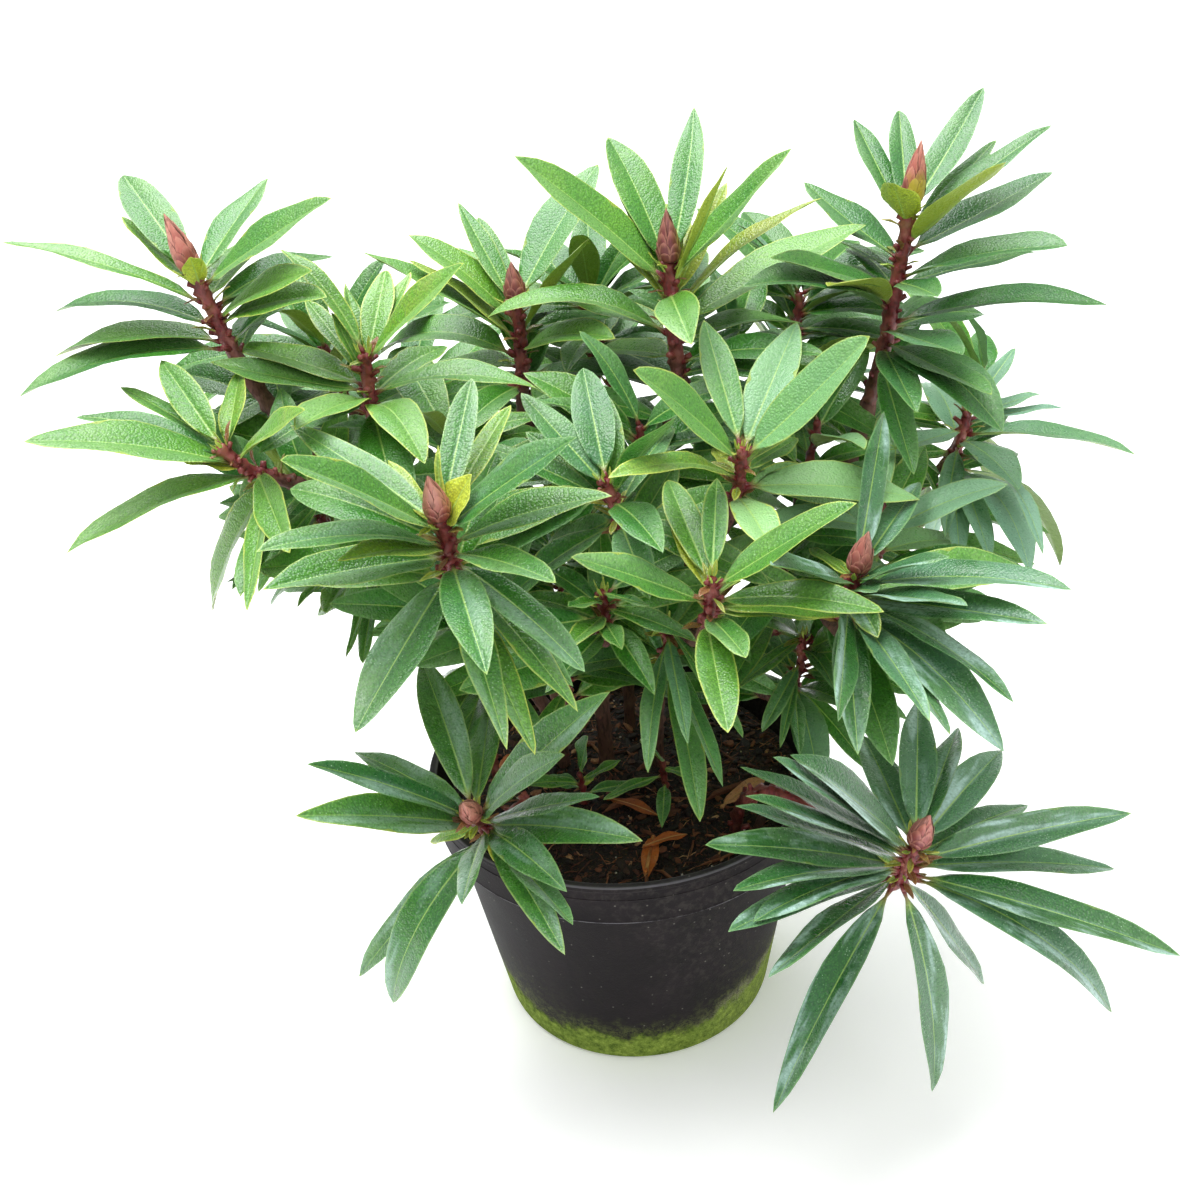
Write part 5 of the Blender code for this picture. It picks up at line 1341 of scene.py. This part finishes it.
def bud_radius_at(part):
    """Radius of a bud, as a part of its full radius."""
    low, high = 0.0, 1.0
    for _ in range(BUD_HALVINGS):
        middle = (low + high) * 0.5
        low, high = (middle, high) if bezier(BUD_CURVE, middle).x < part else (low, middle)
    return bezier(BUD_CURVE, low).y


BUD_RADII = [bud_radius_at(k / BUD_STEPS) for k in range(BUD_STEPS + 1)]
# Scales from the innermost tier out: start and end along the bud, number round it and half angle.
BUD_TIERS = ((0.45, 1.00, 3, 1.00), (0.22, 0.97, 4, 0.95), (0.06, 0.84, 5, 0.88), (0.00, 0.62, 5, 0.86),
             (0.00, 0.42, 6, 0.74), (0.00, 0.25, 6, 0.70))
CORE_AROUND, CORE_ALONG = 14, 12
# The outer side of a scale takes the first half of its grid's columns, and its inner side the rest.
SCALE_HALF, SCALE_ALONG = 8, 9
SCALE_THICK = 0.00026
BUD_CORE = 0.79
BUD_BED = 0.80


def bud_size(part):
    """Radius of a bud, as a part of its full radius, from the worked-out list."""
    place = min(max(part, 0.0), 1.0) * BUD_STEPS
    low = min(int(place), BUD_STEPS - 1)
    return spread(BUD_RADII[low], BUD_RADII[low + 1], place - low)


def add_bud(skin, base, axis, length, radius, tints, rng):
    """A pointed bud of overlapping scales."""
    tint, purple = tints
    side = axis.orthogonal().normalized()
    fore = axis.cross(side)

    def at(part, turn, size):
        return base + axis * (GAP + length * part) + round_axis(side, fore, turn) * size

    def core(i, j):
        part = j / CORE_ALONG
        size = radius * bud_size(part) * (BUD_CORE if 0 < j < CORE_ALONG else 0.0)
        vectors = {"scale": (0.0, part, part), "trait": (0.5, tint, purple)}
        return at(part, 2.0 * math.pi * i / CORE_AROUND, size), vectors

    skin.wrap(CORE_AROUND, CORE_ALONG, core)
    for tier, (low, high, count, half_angle) in enumerate(BUD_TIERS):
        for k in range(count):
            heading = 2.0 * math.pi * (k + 0.5 * (tier % 2)) / count + rng.uniform(-0.14, 0.14) + tier * 0.37
            top = high + rng.uniform(-0.04, 0.02) * (tier > 0)
            seed = rng.random()
            scale_tint = min(tint * rng.uniform(0.3, 2.0), 1.0)
            flare = rng.uniform(0.0, 0.00045) * (tier > 1)

            def scale(i, j):
                outer_side = i <= SCALE_HALF
                column = i if outer_side else 2 * SCALE_HALF - i
                s = 2.0 * column / SCALE_HALF - 1.0
                t = j / SCALE_ALONG
                part = low + (top - low) * t
                wide = half_angle * (1.0 - t ** 2.4) ** 0.62 * (0.80 + 0.35 * t)
                lifted = SCALE_THICK * (tier + 1) + flare * t ** 3 - 0.00014 * s * s
                thick = SCALE_THICK * (1.0 - 0.85 * abs(s)) * outer_side * (1.0 - 0.5 * t)
                if j == 0:
                    thick, lifted = 0.0, 0.0
                size = radius * bud_size(part) * BUD_BED + (lifted + thick) * (1.0 - 0.6 * part ** 3)
                vectors = {"scale": (s, t, part), "trait": (seed, scale_tint, purple)}
                return at(part, heading + s * wide, size), vectors

            skin.wrap(2 * SCALE_HALF, SCALE_ALONG, scale)


def soil_height(x, y):
    """Uneven soil surface, as in the CAD model, with finer lumps."""
    waves = math.sin(61.0 * x + 1.3) * math.cos(53.0 * y - 0.4) + 0.6 * math.sin(97.0 * (x - y) + 0.7)
    lumps = noise.noise(Vector((x, y, 0.3)) * 130.0) * 0.0013
    small_lumps = noise.noise(Vector((x, y, 2.0)) * 330.0) * 0.0006
    return SOIL_LEVEL + SOIL_BUMP * waves + (lumps + small_lumps)


def inner_radius(z):
    """Inner radius of the pot at a height."""
    return BASE_RADIUS + (RIM_RADIUS - RIM_STEP - BASE_RADIUS) * z / POT_HEIGHT - POT_WALL


def spun(skin, profile, steps):
    """Turn a profile of radius and height about the z axis."""
    body = skin.body
    corners = [body.verts.new((radius, 0.0, z)) for radius, z in profile]
    edges = [body.edges.new(pair) for pair in zip(corners, corners[1:])]
    bmesh.ops.spin(body, geom=corners + edges, cent=(0, 0, 0), axis=(0, 0, 1), angle=2.0 * math.pi,
                   steps=steps, use_merge=True)


def rounded(profile, radius):
    """A profile with its inner corners rounded."""
    points = [Vector(point) for point in profile]
    out = [points[0]]
    for before, corner, after in zip(points, points[1:], points[2:]):
        reach = min(radius, (before - corner).length * 0.45, (after - corner).length * 0.45)
        start = corner + (before - corner).normalized() * reach
        end = corner + (after - corner).normalized() * reach
        out += sampled((start, corner, end), CORNER_POINTS)
    return out + [points[-1]]


# Operators.
class BuildPot(bpy.types.Operator):
    """Build the nursery pot with its rim band, lip lines and drainage holes"""

    bl_idname = "rhododendron.pot"
    bl_label = "Pot"

    def execute(self, context):
        look = context.scene.rhododendron_pot
        band = POT_HEIGHT - RIM_BAND
        wall_top = inner_radius(band) + POT_WALL
        profile = (
            (0.0, POT_FLOOR), (inner_radius(POT_FLOOR) - 0.0002, POT_FLOOR), (inner_radius(band), band),
            (RIM_RADIUS - 0.0046, POT_HEIGHT - 0.0008), (RIM_RADIUS - 0.0032, POT_HEIGHT),
            (RIM_RADIUS - 0.0008, POT_HEIGHT), (RIM_RADIUS, POT_HEIGHT - 0.0009),
            (RIM_RADIUS, POT_HEIGHT - 0.0034), (RIM_RADIUS - 0.0016, POT_HEIGHT - 0.0046),
            (RIM_RADIUS - 0.0018, POT_HEIGHT - 0.0098), (RIM_RADIUS - 0.0014, POT_HEIGHT - 0.0103),
            (RIM_RADIUS - 0.0019, POT_HEIGHT - 0.0108),
            (RIM_RADIUS - 0.0029, band + 0.0016), (RIM_RADIUS - 0.0026, band + 0.0006),
            (RIM_RADIUS - 0.0034, band - 0.0004), (wall_top, band - 0.0014),
            (BASE_RADIUS + 0.0005, 0.0052), (BASE_RADIUS - 0.0004, 0.0022), (BASE_RADIUS - 0.0026, 0.0),
            (BASE_RADIUS - 0.0060, 0.0), (BASE_RADIUS - 0.0070, 0.0008), (0.0, 0.0008),
        )
        skin = Skin()
        spun(skin, [(p.x, p.y) for p in rounded(profile, CORNER_ROUND)], look.segments)
        pot = skin.piece("nursery_pot", [finish_named("pot_plastic", pot_finish, look)])
        self.cut_holes(pot)
        join_frame(pot, "pot", "pot")
        return {"FINISHED"}

    def cut_holes(self, pot):
        """Drainage holes through the floor of the pot."""
        tools = Skin()
        for k in range(DRAIN_HOLES):
            turn = 2.0 * math.pi * (k + 0.5) / DRAIN_HOLES
            centre = Matrix.Translation((DRAIN_RING * math.cos(turn), DRAIN_RING * math.sin(turn), 0.002))
            bmesh.ops.create_cone(tools.body, cap_ends=True, segments=24, radius1=DRAIN_RADIUS,
                                  radius2=DRAIN_RADIUS, depth=0.012, matrix=centre)
        cutter = tools.piece("cutter", [])
        step = pot.modifiers.new("holes", "BOOLEAN")
        step.operation = "DIFFERENCE"
        step.object = cutter
        step.solver = "EXACT"
        graph = bpy.context.evaluated_depsgraph_get()
        mesh = bpy.data.meshes.new_from_object(pot.evaluated_get(graph), depsgraph=graph)
        pot.modifiers.clear()
        pot.data = mesh
        bpy.data.objects.remove(cutter, do_unlink=True)


class BuildSoil(bpy.types.Operator):
    """Build the soil with its uneven top"""

    bl_idname = "rhododendron.soil"
    bl_label = "Soil"

    def execute(self, context):
        look = context.scene.rhododendron_soil
        edge = inner_radius(SOIL_LEVEL) - GAP
        foot = inner_radius(POT_FLOOR) - GAP * 2.0
        top = [(edge * k / SOIL_RINGS, SOIL_LEVEL) for k in range(SOIL_RINGS + 1)]
        skin = Skin()
        spun(skin, [*top, (foot, POT_FLOOR + GAP), (0.0, POT_FLOOR + GAP)], SOIL_STEPS)
        for corner in skin.body.verts:
            if corner.co.z > SOIL_LEVEL - GAP:
                corner.co.z = soil_height(corner.co.x, corner.co.y)
        soil = skin.piece("soil_top", [finish_named("soil_peat", soil_finish, look)], weld=SOIL_WELD)
        join_frame(soil, "soil", "soil")
        return {"FINISHED"}


class BuildLitter(bpy.types.Operator):
    """Scatter bark chips, fibres, twigs and pale grains over the soil"""

    bl_idname = "rhododendron.litter"
    bl_label = "Soil litter"

    def execute(self, context):
        look = context.scene.rhododendron_soil
        rng = random.Random(LITTER_SEED)
        skin = Skin("trait")
        for _ in range(look.chips):
            x, y = self.spot(rng)
            size = rng.choice(CHIP_SIZES) * rng.uniform(0.7, 1.4)
            form = (size * rng.uniform(1.0, 2.2), size * rng.uniform(0.5, 1.0), size * rng.uniform(0.25, 0.6))
            self.add_chip(skin, x, y, form, rng.random() ** 2.8, rng)
        for _ in range(look.fibres):
            line = self.fibre_line(rng, rng.uniform(0.006, 0.020))
            self.add_fibre(skin, line, rng.uniform(0.00018, 0.00045), rng.uniform(0.35, 1.0), rng)
        for _ in range(LONG_FIBRES):
            line = self.fibre_line(rng, rng.uniform(0.016, 0.034))
            self.add_fibre(skin, line, rng.uniform(0.0006, 0.0011), rng.uniform(0.45, 0.85), rng)
        for first, last, radius, tone in TWIGS:
            self.add_fibre(skin, self.twig_line(first, last, rng), radius, tone, rng)
        litter = skin.piece("bark_litter", [finish_named("bark_chip", chip_finish, look)], smooth=False)
        join_frame(litter, "soil")
        skin = Skin("trait")
        for _ in range(look.grains):
            x, y = self.spot(rng)
            size = rng.uniform(0.0004, 0.0011)
            self.add_chip(skin, x, y, (size, size, size * 0.8), 0.5, rng)
        grains = skin.piece("pale_grains", [finish_named("pale_grain", grain_finish)], smooth=False)
        join_frame(grains, "soil")
        return {"FINISHED"}

    def spot(self, rng):
        """A place on the soil."""
        reach = (inner_radius(SOIL_LEVEL) - 0.004) * math.sqrt(rng.random())
        turn = rng.uniform(0.0, 2.0 * math.pi)
        return reach * math.cos(turn), reach * math.sin(turn)

    def add_chip(self, skin, x, y, form, tone, rng):
        """A rough flat chip lying on the soil."""
        made = bmesh.ops.create_icosphere(skin.body, subdivisions=1, radius=1.0)["verts"]
        turn = Matrix.Rotation(rng.uniform(0, 6.28), 4, "Z") @ Matrix.Rotation(rng.uniform(-0.5, 0.5), 4, "Y")
        seed = rng.random()
        for corner in made:
            co = corner.co * rng.uniform(0.75, 1.2)
            corner.co = turn @ Vector((co.x * form[0], co.y * form[1], co.z * form[2]))
            corner.co += Vector((x, y, soil_height(x, y) + form[2] * 0.5))
            skin.mark(corner, {"trait": (tone, seed, 0.0)})

    def fibre_line(self, rng, length):
        """A curved line on the soil, kept within the pot."""
        x, y = self.spot(rng)
        heading = rng.uniform(0, 6.28)
        bend = rng.uniform(-0.9, 0.9)
        limit = inner_radius(SOIL_LEVEL) - 0.002
        points = []
        for k in range(FIBRE_PARTS + 1):
            points.append((x, y))
            x += math.cos(heading + bend * k / FIBRE_PARTS) * length / FIBRE_PARTS
            y += math.sin(heading + bend * k / FIBRE_PARTS) * length / FIBRE_PARTS
            reach = math.hypot(x, y)
            if reach > limit:
                x, y = x * limit / reach, y * limit / reach
        return points

    def twig_line(self, first, last, rng):
        """A slightly crooked line on the soil between two picture places."""
        start, end = soil_point(*first), soil_point(*last)
        aside = Vector((start.y - end.y, end.x - start.x, 0.0)) * rng.uniform(-0.12, 0.12)
        points = []
        for k in range(FIBRE_PARTS + 1):
            part = k / FIBRE_PARTS
            point = start.lerp(end, part) + aside * math.sin(math.pi * k / FIBRE_PARTS)
            points.append((point.x, point.y))
        return points

    def add_fibre(self, skin, points, radius, tone, rng):
        """A thin fibre or twig along a line on the soil."""
        seed = rng.random()
        (x0, y0), (x1, y1) = points[0], points[-1]
        across = Vector((y0 - y1, x1 - x0, 0.0)).normalized()

        def place(i, j):
            px, py = points[j]
            turn = 2.0 * math.pi * i / FIBRE_SIDES
            size = radius * (1.0 if 0 < j < FIBRE_PARTS else 0.0)
            lift = soil_height(px, py) + radius + 0.0008 * math.sin(2.2 * j)
            return (Vector((px, py, lift)) + across * size * math.cos(turn)
                    + Vector((0, 0, size * math.sin(turn)))), {"trait": (tone, seed, 0.0)}

        skin.wrap(FIBRE_SIDES, FIBRE_PARTS, place)


class BuildDryLeaves(bpy.types.Operator):
    """Build the dry leaves lying on the soil"""

    bl_idname = "rhododendron.dry_leaves"
    bl_label = "Dry leaves"

    def execute(self, context):
        look = context.scene.rhododendron_leaf
        rng = random.Random(DRY_SEED)
        nodes = [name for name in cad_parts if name.startswith("dry_leaf")]
        for name, tone in zip(sorted(nodes), DRY_TONES):
            skin = Skin("blade", "trait", "reach")
            for blade in blades_of(name):
                add_leaf(skin, blade, look, (tone, 0.0, False), rng)
            made = finish_named("dry_leaf_brown", dry_leaf_finish, context.scene.rhododendron_soil)
            join_frame(skin.piece("fallen_" + name, [made]), "dry_leaf", name)
        self.add_yellow_leaf(look, rng)
        return {"FINISHED"}

    def add_yellow_leaf(self, look, rng):
        """A small yellow leaf lying on the soil."""
        root, tip = [soil_point(*place) + Vector((0, 0, YELLOW_LIFT)) for place in YELLOW_LEAF]
        sky = Vector((0.0, -0.3, 1.0)).normalized()
        blade = grown_blade(root, tip, sky * 0.0006, sky, 0.55 * (tip - root).length)
        skin = Skin("blade", "trait", "reach")
        add_leaf(skin, blade, look, (1.0, 0.0, False), rng)
        piece = skin.piece("fallen_yellow_leaf", [finish_named("leaf_green", leaf_finish, look)])
        join_frame(piece, "dry_leaf")


class BuildWood(bpy.types.Operator):
    """Build the woody stems with their branches"""

    bl_idname = "rhododendron.wood"
    bl_label = "Woody stems"

    def execute(self, context):
        look = context.scene.rhododendron_wood
        stems = plan_stems()
        for number, name in enumerate(TRUNKS):
            rng = random.Random(WOOD_SEED + number)
            skin = Skin("bark")
            trunk, *branches = branch_paths(name, stems)
            add_stem(skin, trunk, look, rng, TRUNK_SIDES, (0.0, 0.1), TRUNK_SCARS)
            for branch in branches:
                scars = max(int(branch.length / BRANCH_SCAR_STEP), FEWEST_BRANCH_SCARS)
                add_stem(skin, branch, look, rng, BRANCH_SIDES, (0.1, 0.85), scars)
            wood = skin.piece("bark_" + name, [finish_named("old_bark", bark_finish, look)])
            join_frame(wood, "wood", name)
        return {"FINISHED"}


class BuildShoots(bpy.types.Operator):
    """Build the leafy shoots: each stem with all of its leaves"""

    bl_idname = "rhododendron.shoots"
    bl_label = "Leafy shoots"

    def execute(self, context):
        leaf_look = context.scene.rhododendron_leaf
        wood_look = context.scene.rhododendron_wood
        stems = plan_stems()
        for number, (name, points) in enumerate(stems.items()):
            rng = random.Random(SHOOT_SEED + number)
            skin = Skin("blade", "trait", "reach", "bark")
            for blade in blades_of("shoot_" + name):
                add_leaf(skin, blade, leaf_look, leaf_traits(name, blade, rng), rng,
                         -SHOOT_BLOOM_SHEEN.get(name, PLAIN_BLOOM_SHEEN) * rng.uniform(0.4, 1.6))
            path = stem_path(name, points)
            scars = max(int(path.length / SCAR_STEP), FEWEST_SCARS)
            add_stem(skin, path, wood_look, rng, YOUNG_SIDES, (0.0, 1.0), scars, STEM_MATERIAL,
                     YOUNG_TOP, YOUNG_SLIM)
            if name in SHOOT_TONES:
                stubs = int(min(path.length, STUB_REACH) / STUB_STEP)
                add_stubs(skin, path, rng, stubs, STEM_MATERIAL)
                add_bracts(skin, path, leaf_look, rng, name in BUD_LENGTHS)
                add_straps(skin, path, leaf_look, rng, ARCHED_STRAPS if name in ARCHED else STRAPS)
            finishes = [finish_named("leaf_green", leaf_finish, leaf_look),
                        finish_named("young_stem", young_stem_finish, wood_look)]
            join_frame(skin.piece("leafy_shoot_" + name, finishes), "leaf", "shoot_" + name)
        return {"FINISHED"}


class BuildInnerLeaves(bpy.types.Operator):
    """Build the leaves inside the bush, clear of the leaves of the shoots"""

    bl_idname = "rhododendron.inner_leaves"
    bl_label = "Inner leaves"

    def execute(self, context):
        look = context.scene.rhododendron_leaf
        stems = plan_stems()
        self.covered = set()
        self.nearest = {}
        self.bare = {}
        self.bodies = []
        for node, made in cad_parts.items():
            self.add_body(made.data)
            if node.startswith("shoot_"):
                self.note_shoot(node[len("shoot_"):], stems)
        for name in TRUNKS:
            for branch in branch_paths(name, stems)[1:]:
                self.note_branch(branch)
        for number, name in enumerate(TRUNKS):
            rng = random.Random(INNER_SEED + number)
            skin = Skin("blade", "trait", "reach")
            paths = branch_paths(name, stems)[1:]
            paths += [stem_path(shoot, stems[shoot]) for shoot in TRUNKS[name][3]]
            grown = 0
            for attempt in range(INNER_TRIES):
                blade = self.try_leaf(rng.choice(paths), attempt, rng)
                if blade:
                    add_leaf(skin, blade, look, (rng.uniform(*INNER_TONES), INNER_WET, False), rng)
                    grown += 1
                if grown == INNER_LEAVES:
                    break
            leaves = skin.piece("inner_leaves_" + name, [finish_named("leaf_green", leaf_finish, look)])
            join_frame(leaves, "leaf")
        return {"FINISHED"}

    def note_shoot(self, name, stems):
        """Keep the picture cells of a shoot, and how near its leaves, stem and bud come to the eye."""
        for blade in blades_of("shoot_" + name):
            cells = seen_cells(blade)
            self.covered |= set(cells)
            if name in SHOOT_TONES:
                for cell, distance in cells.items():
                    keep_least(self.nearest, cell, distance)
        if name in SHOOT_TONES:
            points = stems[name]
            bud_tip = points[0] + (points[0] - points[1]).normalized() * BUD_LENGTHS.get(name, BARE_TIP)
            for a, b in zip([bud_tip, *points[:3]], points[:4]):
                for part in (0.0, 0.25, 0.5, 0.75, 1.0):
                    spot = a.lerp(b, part)
                    x, y = picture_place(spot)
                    for shift in (-COVER_CELL, 0.0, COVER_CELL):
                        keep_least(self.nearest, picture_cell(x + shift, y), (spot - EYE).length)

    def note_branch(self, branch):
        """Keep the picture cells where a branch is nearer than the noted leaves, stems and buds."""
        steps = int(branch.length / BRANCH_NOTE_STEP)
        for k in range(steps + 1):
            spot, _, _ = branch.at(branch.length * k / steps)
            cell = picture_cell(*picture_place(spot))
            distance = (spot - EYE).length
            if distance < self.nearest.get(cell, math.inf):
                keep_least(self.bare, cell, distance)

    def add_body(self, mesh):
        """Keep a CAD body as something that inner leaves stay clear of."""
        corners = [corner.co.copy() for corner in mesh.vertices]
        faces = [tuple(face.vertices) for face in mesh.polygons]
        self.bodies.append((box_of(corners), BVHTree.FromPolygons(corners, faces)))

    def try_leaf(self, path, attempt, rng):
        """A leaf growing from a stem, or None where it would not fit or not fill a gap."""
        root, direction, _ = path.at(path.length * rng.uniform(0.02, 0.98))
        axis = direction if direction.z > 0.0 else -direction
        side = axis.orthogonal().normalized()
        out = round_axis(side, axis.cross(side), attempt * GOLDEN_ANGLE)
        lean = math.radians(rng.uniform(*INNER_LEANS))
        length = rng.uniform(*INNER_LENGTHS)
        tip = root + (axis * math.cos(lean) + out * math.sin(lean)) * length
        tip.z -= length * rng.uniform(0.0, 0.34)
        up = square_to((tip - root).normalized(), axis * 0.5 + Vector((0, -0.32, 0.45)))
        blade = grown_blade(root, tip, up * (0.07 * length), up, length * rng.uniform(0.23, 0.30))
        if not all(self.inside(blade.frame(t)[0]) for t in (0.55, 1.0)):
            return None
        middle, _, facing = blade.frame(0.5)
        turned_to = facing.dot((EYE - middle).normalized())
        if abs(turned_to) < INNER_FACING or (turned_to < 0.0 and middle.y < BACK_HALF):
            return None
        cells = seen_cells(blade)
        if len(cells) < INNER_SEEN:
            return None
        gain = sum(cell not in self.covered or distance < self.bare.get(cell, 0.0)
                   for cell, distance in cells.items())
        if gain < INNER_GAIN:
            return None
        if sum(distance < self.nearest.get(cell, 0.0) for cell, distance in cells.items()) > INNER_HIDES:
            return None
        trees = [blade.tree(offset) for offset in (-0.0008, 0.0008)]
        box = box_of(blade.ribbon(0.0))
        for other_box, other in self.bodies:
            if boxes_meet(box, other_box) and any(tree.overlap(other) for tree in trees):
                return None
        self.bodies.append((box, blade.tree(0.0)))
        self.covered |= set(cells)
        for cell, distance in cells.items():
            if distance < self.bare.get(cell, 0.0):
                del self.bare[cell]
        return blade

    def inside(self, point):
        """True within the thick of the plant."""
        room = all(abs(value) < limit for value, limit in zip(point, INNER_ROOM))
        behind = 0.0 < point.y < INNER_BACK and point.z < INNER_ROOM[2]
        return (room or behind) and point.z > INNER_FOOT and inside_outline(point)


class BuildBuds(bpy.types.Operator):
    """Build the winter buds on the shoot ends"""

    bl_idname = "rhododendron.buds"
    bl_label = "Buds"

    def execute(self, context):
        look = context.scene.rhododendron_wood
        stems = plan_stems()
        for number, (name, length) in enumerate(BUD_LENGTHS.items()):
            skin = Skin("scale", "trait")
            axis = (stems[name][0] - stems[name][1]).normalized()
            radius = min(BUD_SLIMNESS * length, FATTEST_BUD)
            rng = random.Random(BUD_SEED + number)
            add_bud(skin, stems[name][0], axis, length, radius, BUD_TINTS[name], rng)
            bud = skin.piece("winter_bud_" + name, [finish_named("bud_scale", bud_finish, look)])
            join_frame(bud, "bud", "bud_" + name)
        return {"FINISHED"}


class BuildStage(bpy.types.Operator):
    """Build the floor, the lights and the camera"""

    bl_idname = "rhododendron.stage"
    bl_label = "Floor, light and camera"

    def execute(self, context):
        look = context.scene.rhododendron_stage
        skin = Skin()
        bmesh.ops.create_grid(skin.body, x_segments=2, y_segments=2, size=look.floor_size * 0.5)
        floor = skin.piece("floor", [finish_named("pale_floor", floor_finish, look.floor)])
        self.surround(look)
        self.lamp("back_box", (-0.3, 1.5, 2.0), (0.0, 0.0, 0.25), 1.3, look.soft * 0.8, (0.92, 0.96, 1.0))
        self.lamp("top_box", (-0.7, -0.1, 2.4), (0.0, 0.0, 0.2), 1.4, look.soft * 1.3, (0.97, 0.98, 1.0))
        self.lamp("front_box", (1.3, -1.7, 1.3), (0.0, 0.0, 0.25), 1.6, look.soft * 0.6, (1.0, 0.98, 0.95))
        sun = bpy.data.lights.new("even_light", "SUN")
        sun.energy = 2.0
        sun.angle = math.radians(50.0)
        lamp = bpy.data.objects.new("even_light", sun)
        lamp.rotation_euler = (math.radians(-18.0), math.radians(-12.0), 0.0)
        bpy.context.scene.collection.objects.link(lamp)
        self.camera()
        bpy.context.scene.view_settings.view_transform = "Standard"
        return {"FINISHED"}

    def surround(self, look):
        """White surroundings, dimmer near the floor, but plain white where they are seen themselves."""
        world = bpy.data.worlds.new("studio")
        world.use_nodes = True
        tree = world.node_tree
        back = tree.nodes["Background"]
        back.inputs["Color"].default_value = (0.97, 0.985, 1.0, 1.0)
        heading = tree.nodes.new("ShaderNodeTexCoord")
        parts = tree.nodes.new("ShaderNodeSeparateXYZ")
        height = tree.nodes.new("ShaderNodeMapRange")
        height.interpolation_type = "SMOOTHSTEP"
        for name, value in (("From Min", 0.30), ("From Max", 0.95), ("To Min", look.surround * 0.34),
                            ("To Max", look.surround * 1.9)):
            height.inputs[name].default_value = value
        tree.links.new(heading.outputs["Generated"], parts.inputs[0])
        tree.links.new(parts.outputs["Z"], height.inputs["Value"])
        rays = tree.nodes.new("ShaderNodeLightPath")
        shown = tree.nodes.new("ShaderNodeMath")
        shown.operation = "MAXIMUM"
        tree.links.new(height.outputs[0], shown.inputs[0])
        tree.links.new(rays.outputs["Is Camera Ray"], shown.inputs[1])
        tree.links.new(shown.outputs[0], back.inputs["Strength"])
        bpy.context.scene.world = world

    def lamp(self, name, place, target, size, power, colour):
        """A square soft box facing a point."""
        light = bpy.data.lights.new(name, "AREA")
        light.shape = "SQUARE"
        light.size = size
        light.energy = power
        light.color = colour
        lamp = bpy.data.objects.new(name, light)
        lamp.location = place
        lamp.rotation_euler = (Vector(target) - Vector(place)).to_track_quat("-Z", "Y").to_euler()
        bpy.context.scene.collection.objects.link(lamp)

    def camera(self):
        """Camera at the angle of the reference picture."""
        data = bpy.data.cameras.new("camera")
        data.sensor_width = SENSOR_WIDTH
        data.lens = FOCAL_PIXELS / PICTURE_PIXELS * SENSOR_WIDTH
        camera = bpy.data.objects.new("camera", data)
        columns = Matrix((EYE_RIGHT, EYE_UP, -EYE_FORWARD)).transposed().to_4x4()
        camera.matrix_world = Matrix.Translation(EYE) @ columns
        bpy.context.scene.collection.objects.link(camera)
        bpy.context.scene.camera = camera


class RhododendronPanel(bpy.types.Panel):
    """Lists the parts of the rhododendron and their settings"""

    bl_idname = "VIEW3D_PT_rhododendron"
    bl_label = "Potted Rhododendron"
    bl_space_type = "VIEW_3D"
    bl_region_type = "UI"
    bl_category = "Rhododendron"

    def draw(self, context):
        for group, builders in PANEL_ROWS:
            box = self.layout.box()
            settings = getattr(context.scene, group)
            for name in settings.__annotations__:
                box.prop(settings, name)
            for builder in builders:
                box.operator(builder.bl_idname)


SETTINGS = {
    "rhododendron_pot": PotSettings,
    "rhododendron_soil": SoilSettings,
    "rhododendron_wood": WoodSettings,
    "rhododendron_leaf": LeafSettings,
    "rhododendron_stage": StageSettings,
}
PANEL_ROWS = (
    ("rhododendron_pot", (BuildPot,)),
    ("rhododendron_soil", (BuildSoil, BuildLitter, BuildDryLeaves)),
    ("rhododendron_wood", (BuildWood, BuildBuds)),
    ("rhododendron_leaf", (BuildShoots, BuildInnerLeaves)),
    ("rhododendron_stage", (BuildStage,)),
)
BUILDERS = [builder for _, builders in PANEL_ROWS for builder in builders]


def register():
    for kind in (*SETTINGS.values(), *BUILDERS, RhododendronPanel):
        bpy.utils.register_class(kind)
    for name, kind in SETTINGS.items():
        setattr(bpy.types.Scene, name, bpy.props.PointerProperty(type=kind))


def unregister():
    for name in SETTINGS:
        delattr(bpy.types.Scene, name)
    for kind in (RhododendronPanel, *BUILDERS, *SETTINGS.values()):
        bpy.utils.unregister_class(kind)


def main():
    register()
    for builder in BUILDERS:
        getattr(bpy.ops.rhododendron, builder.bl_idname.split(".")[1])()


if __name__ == "__main__":
    main()
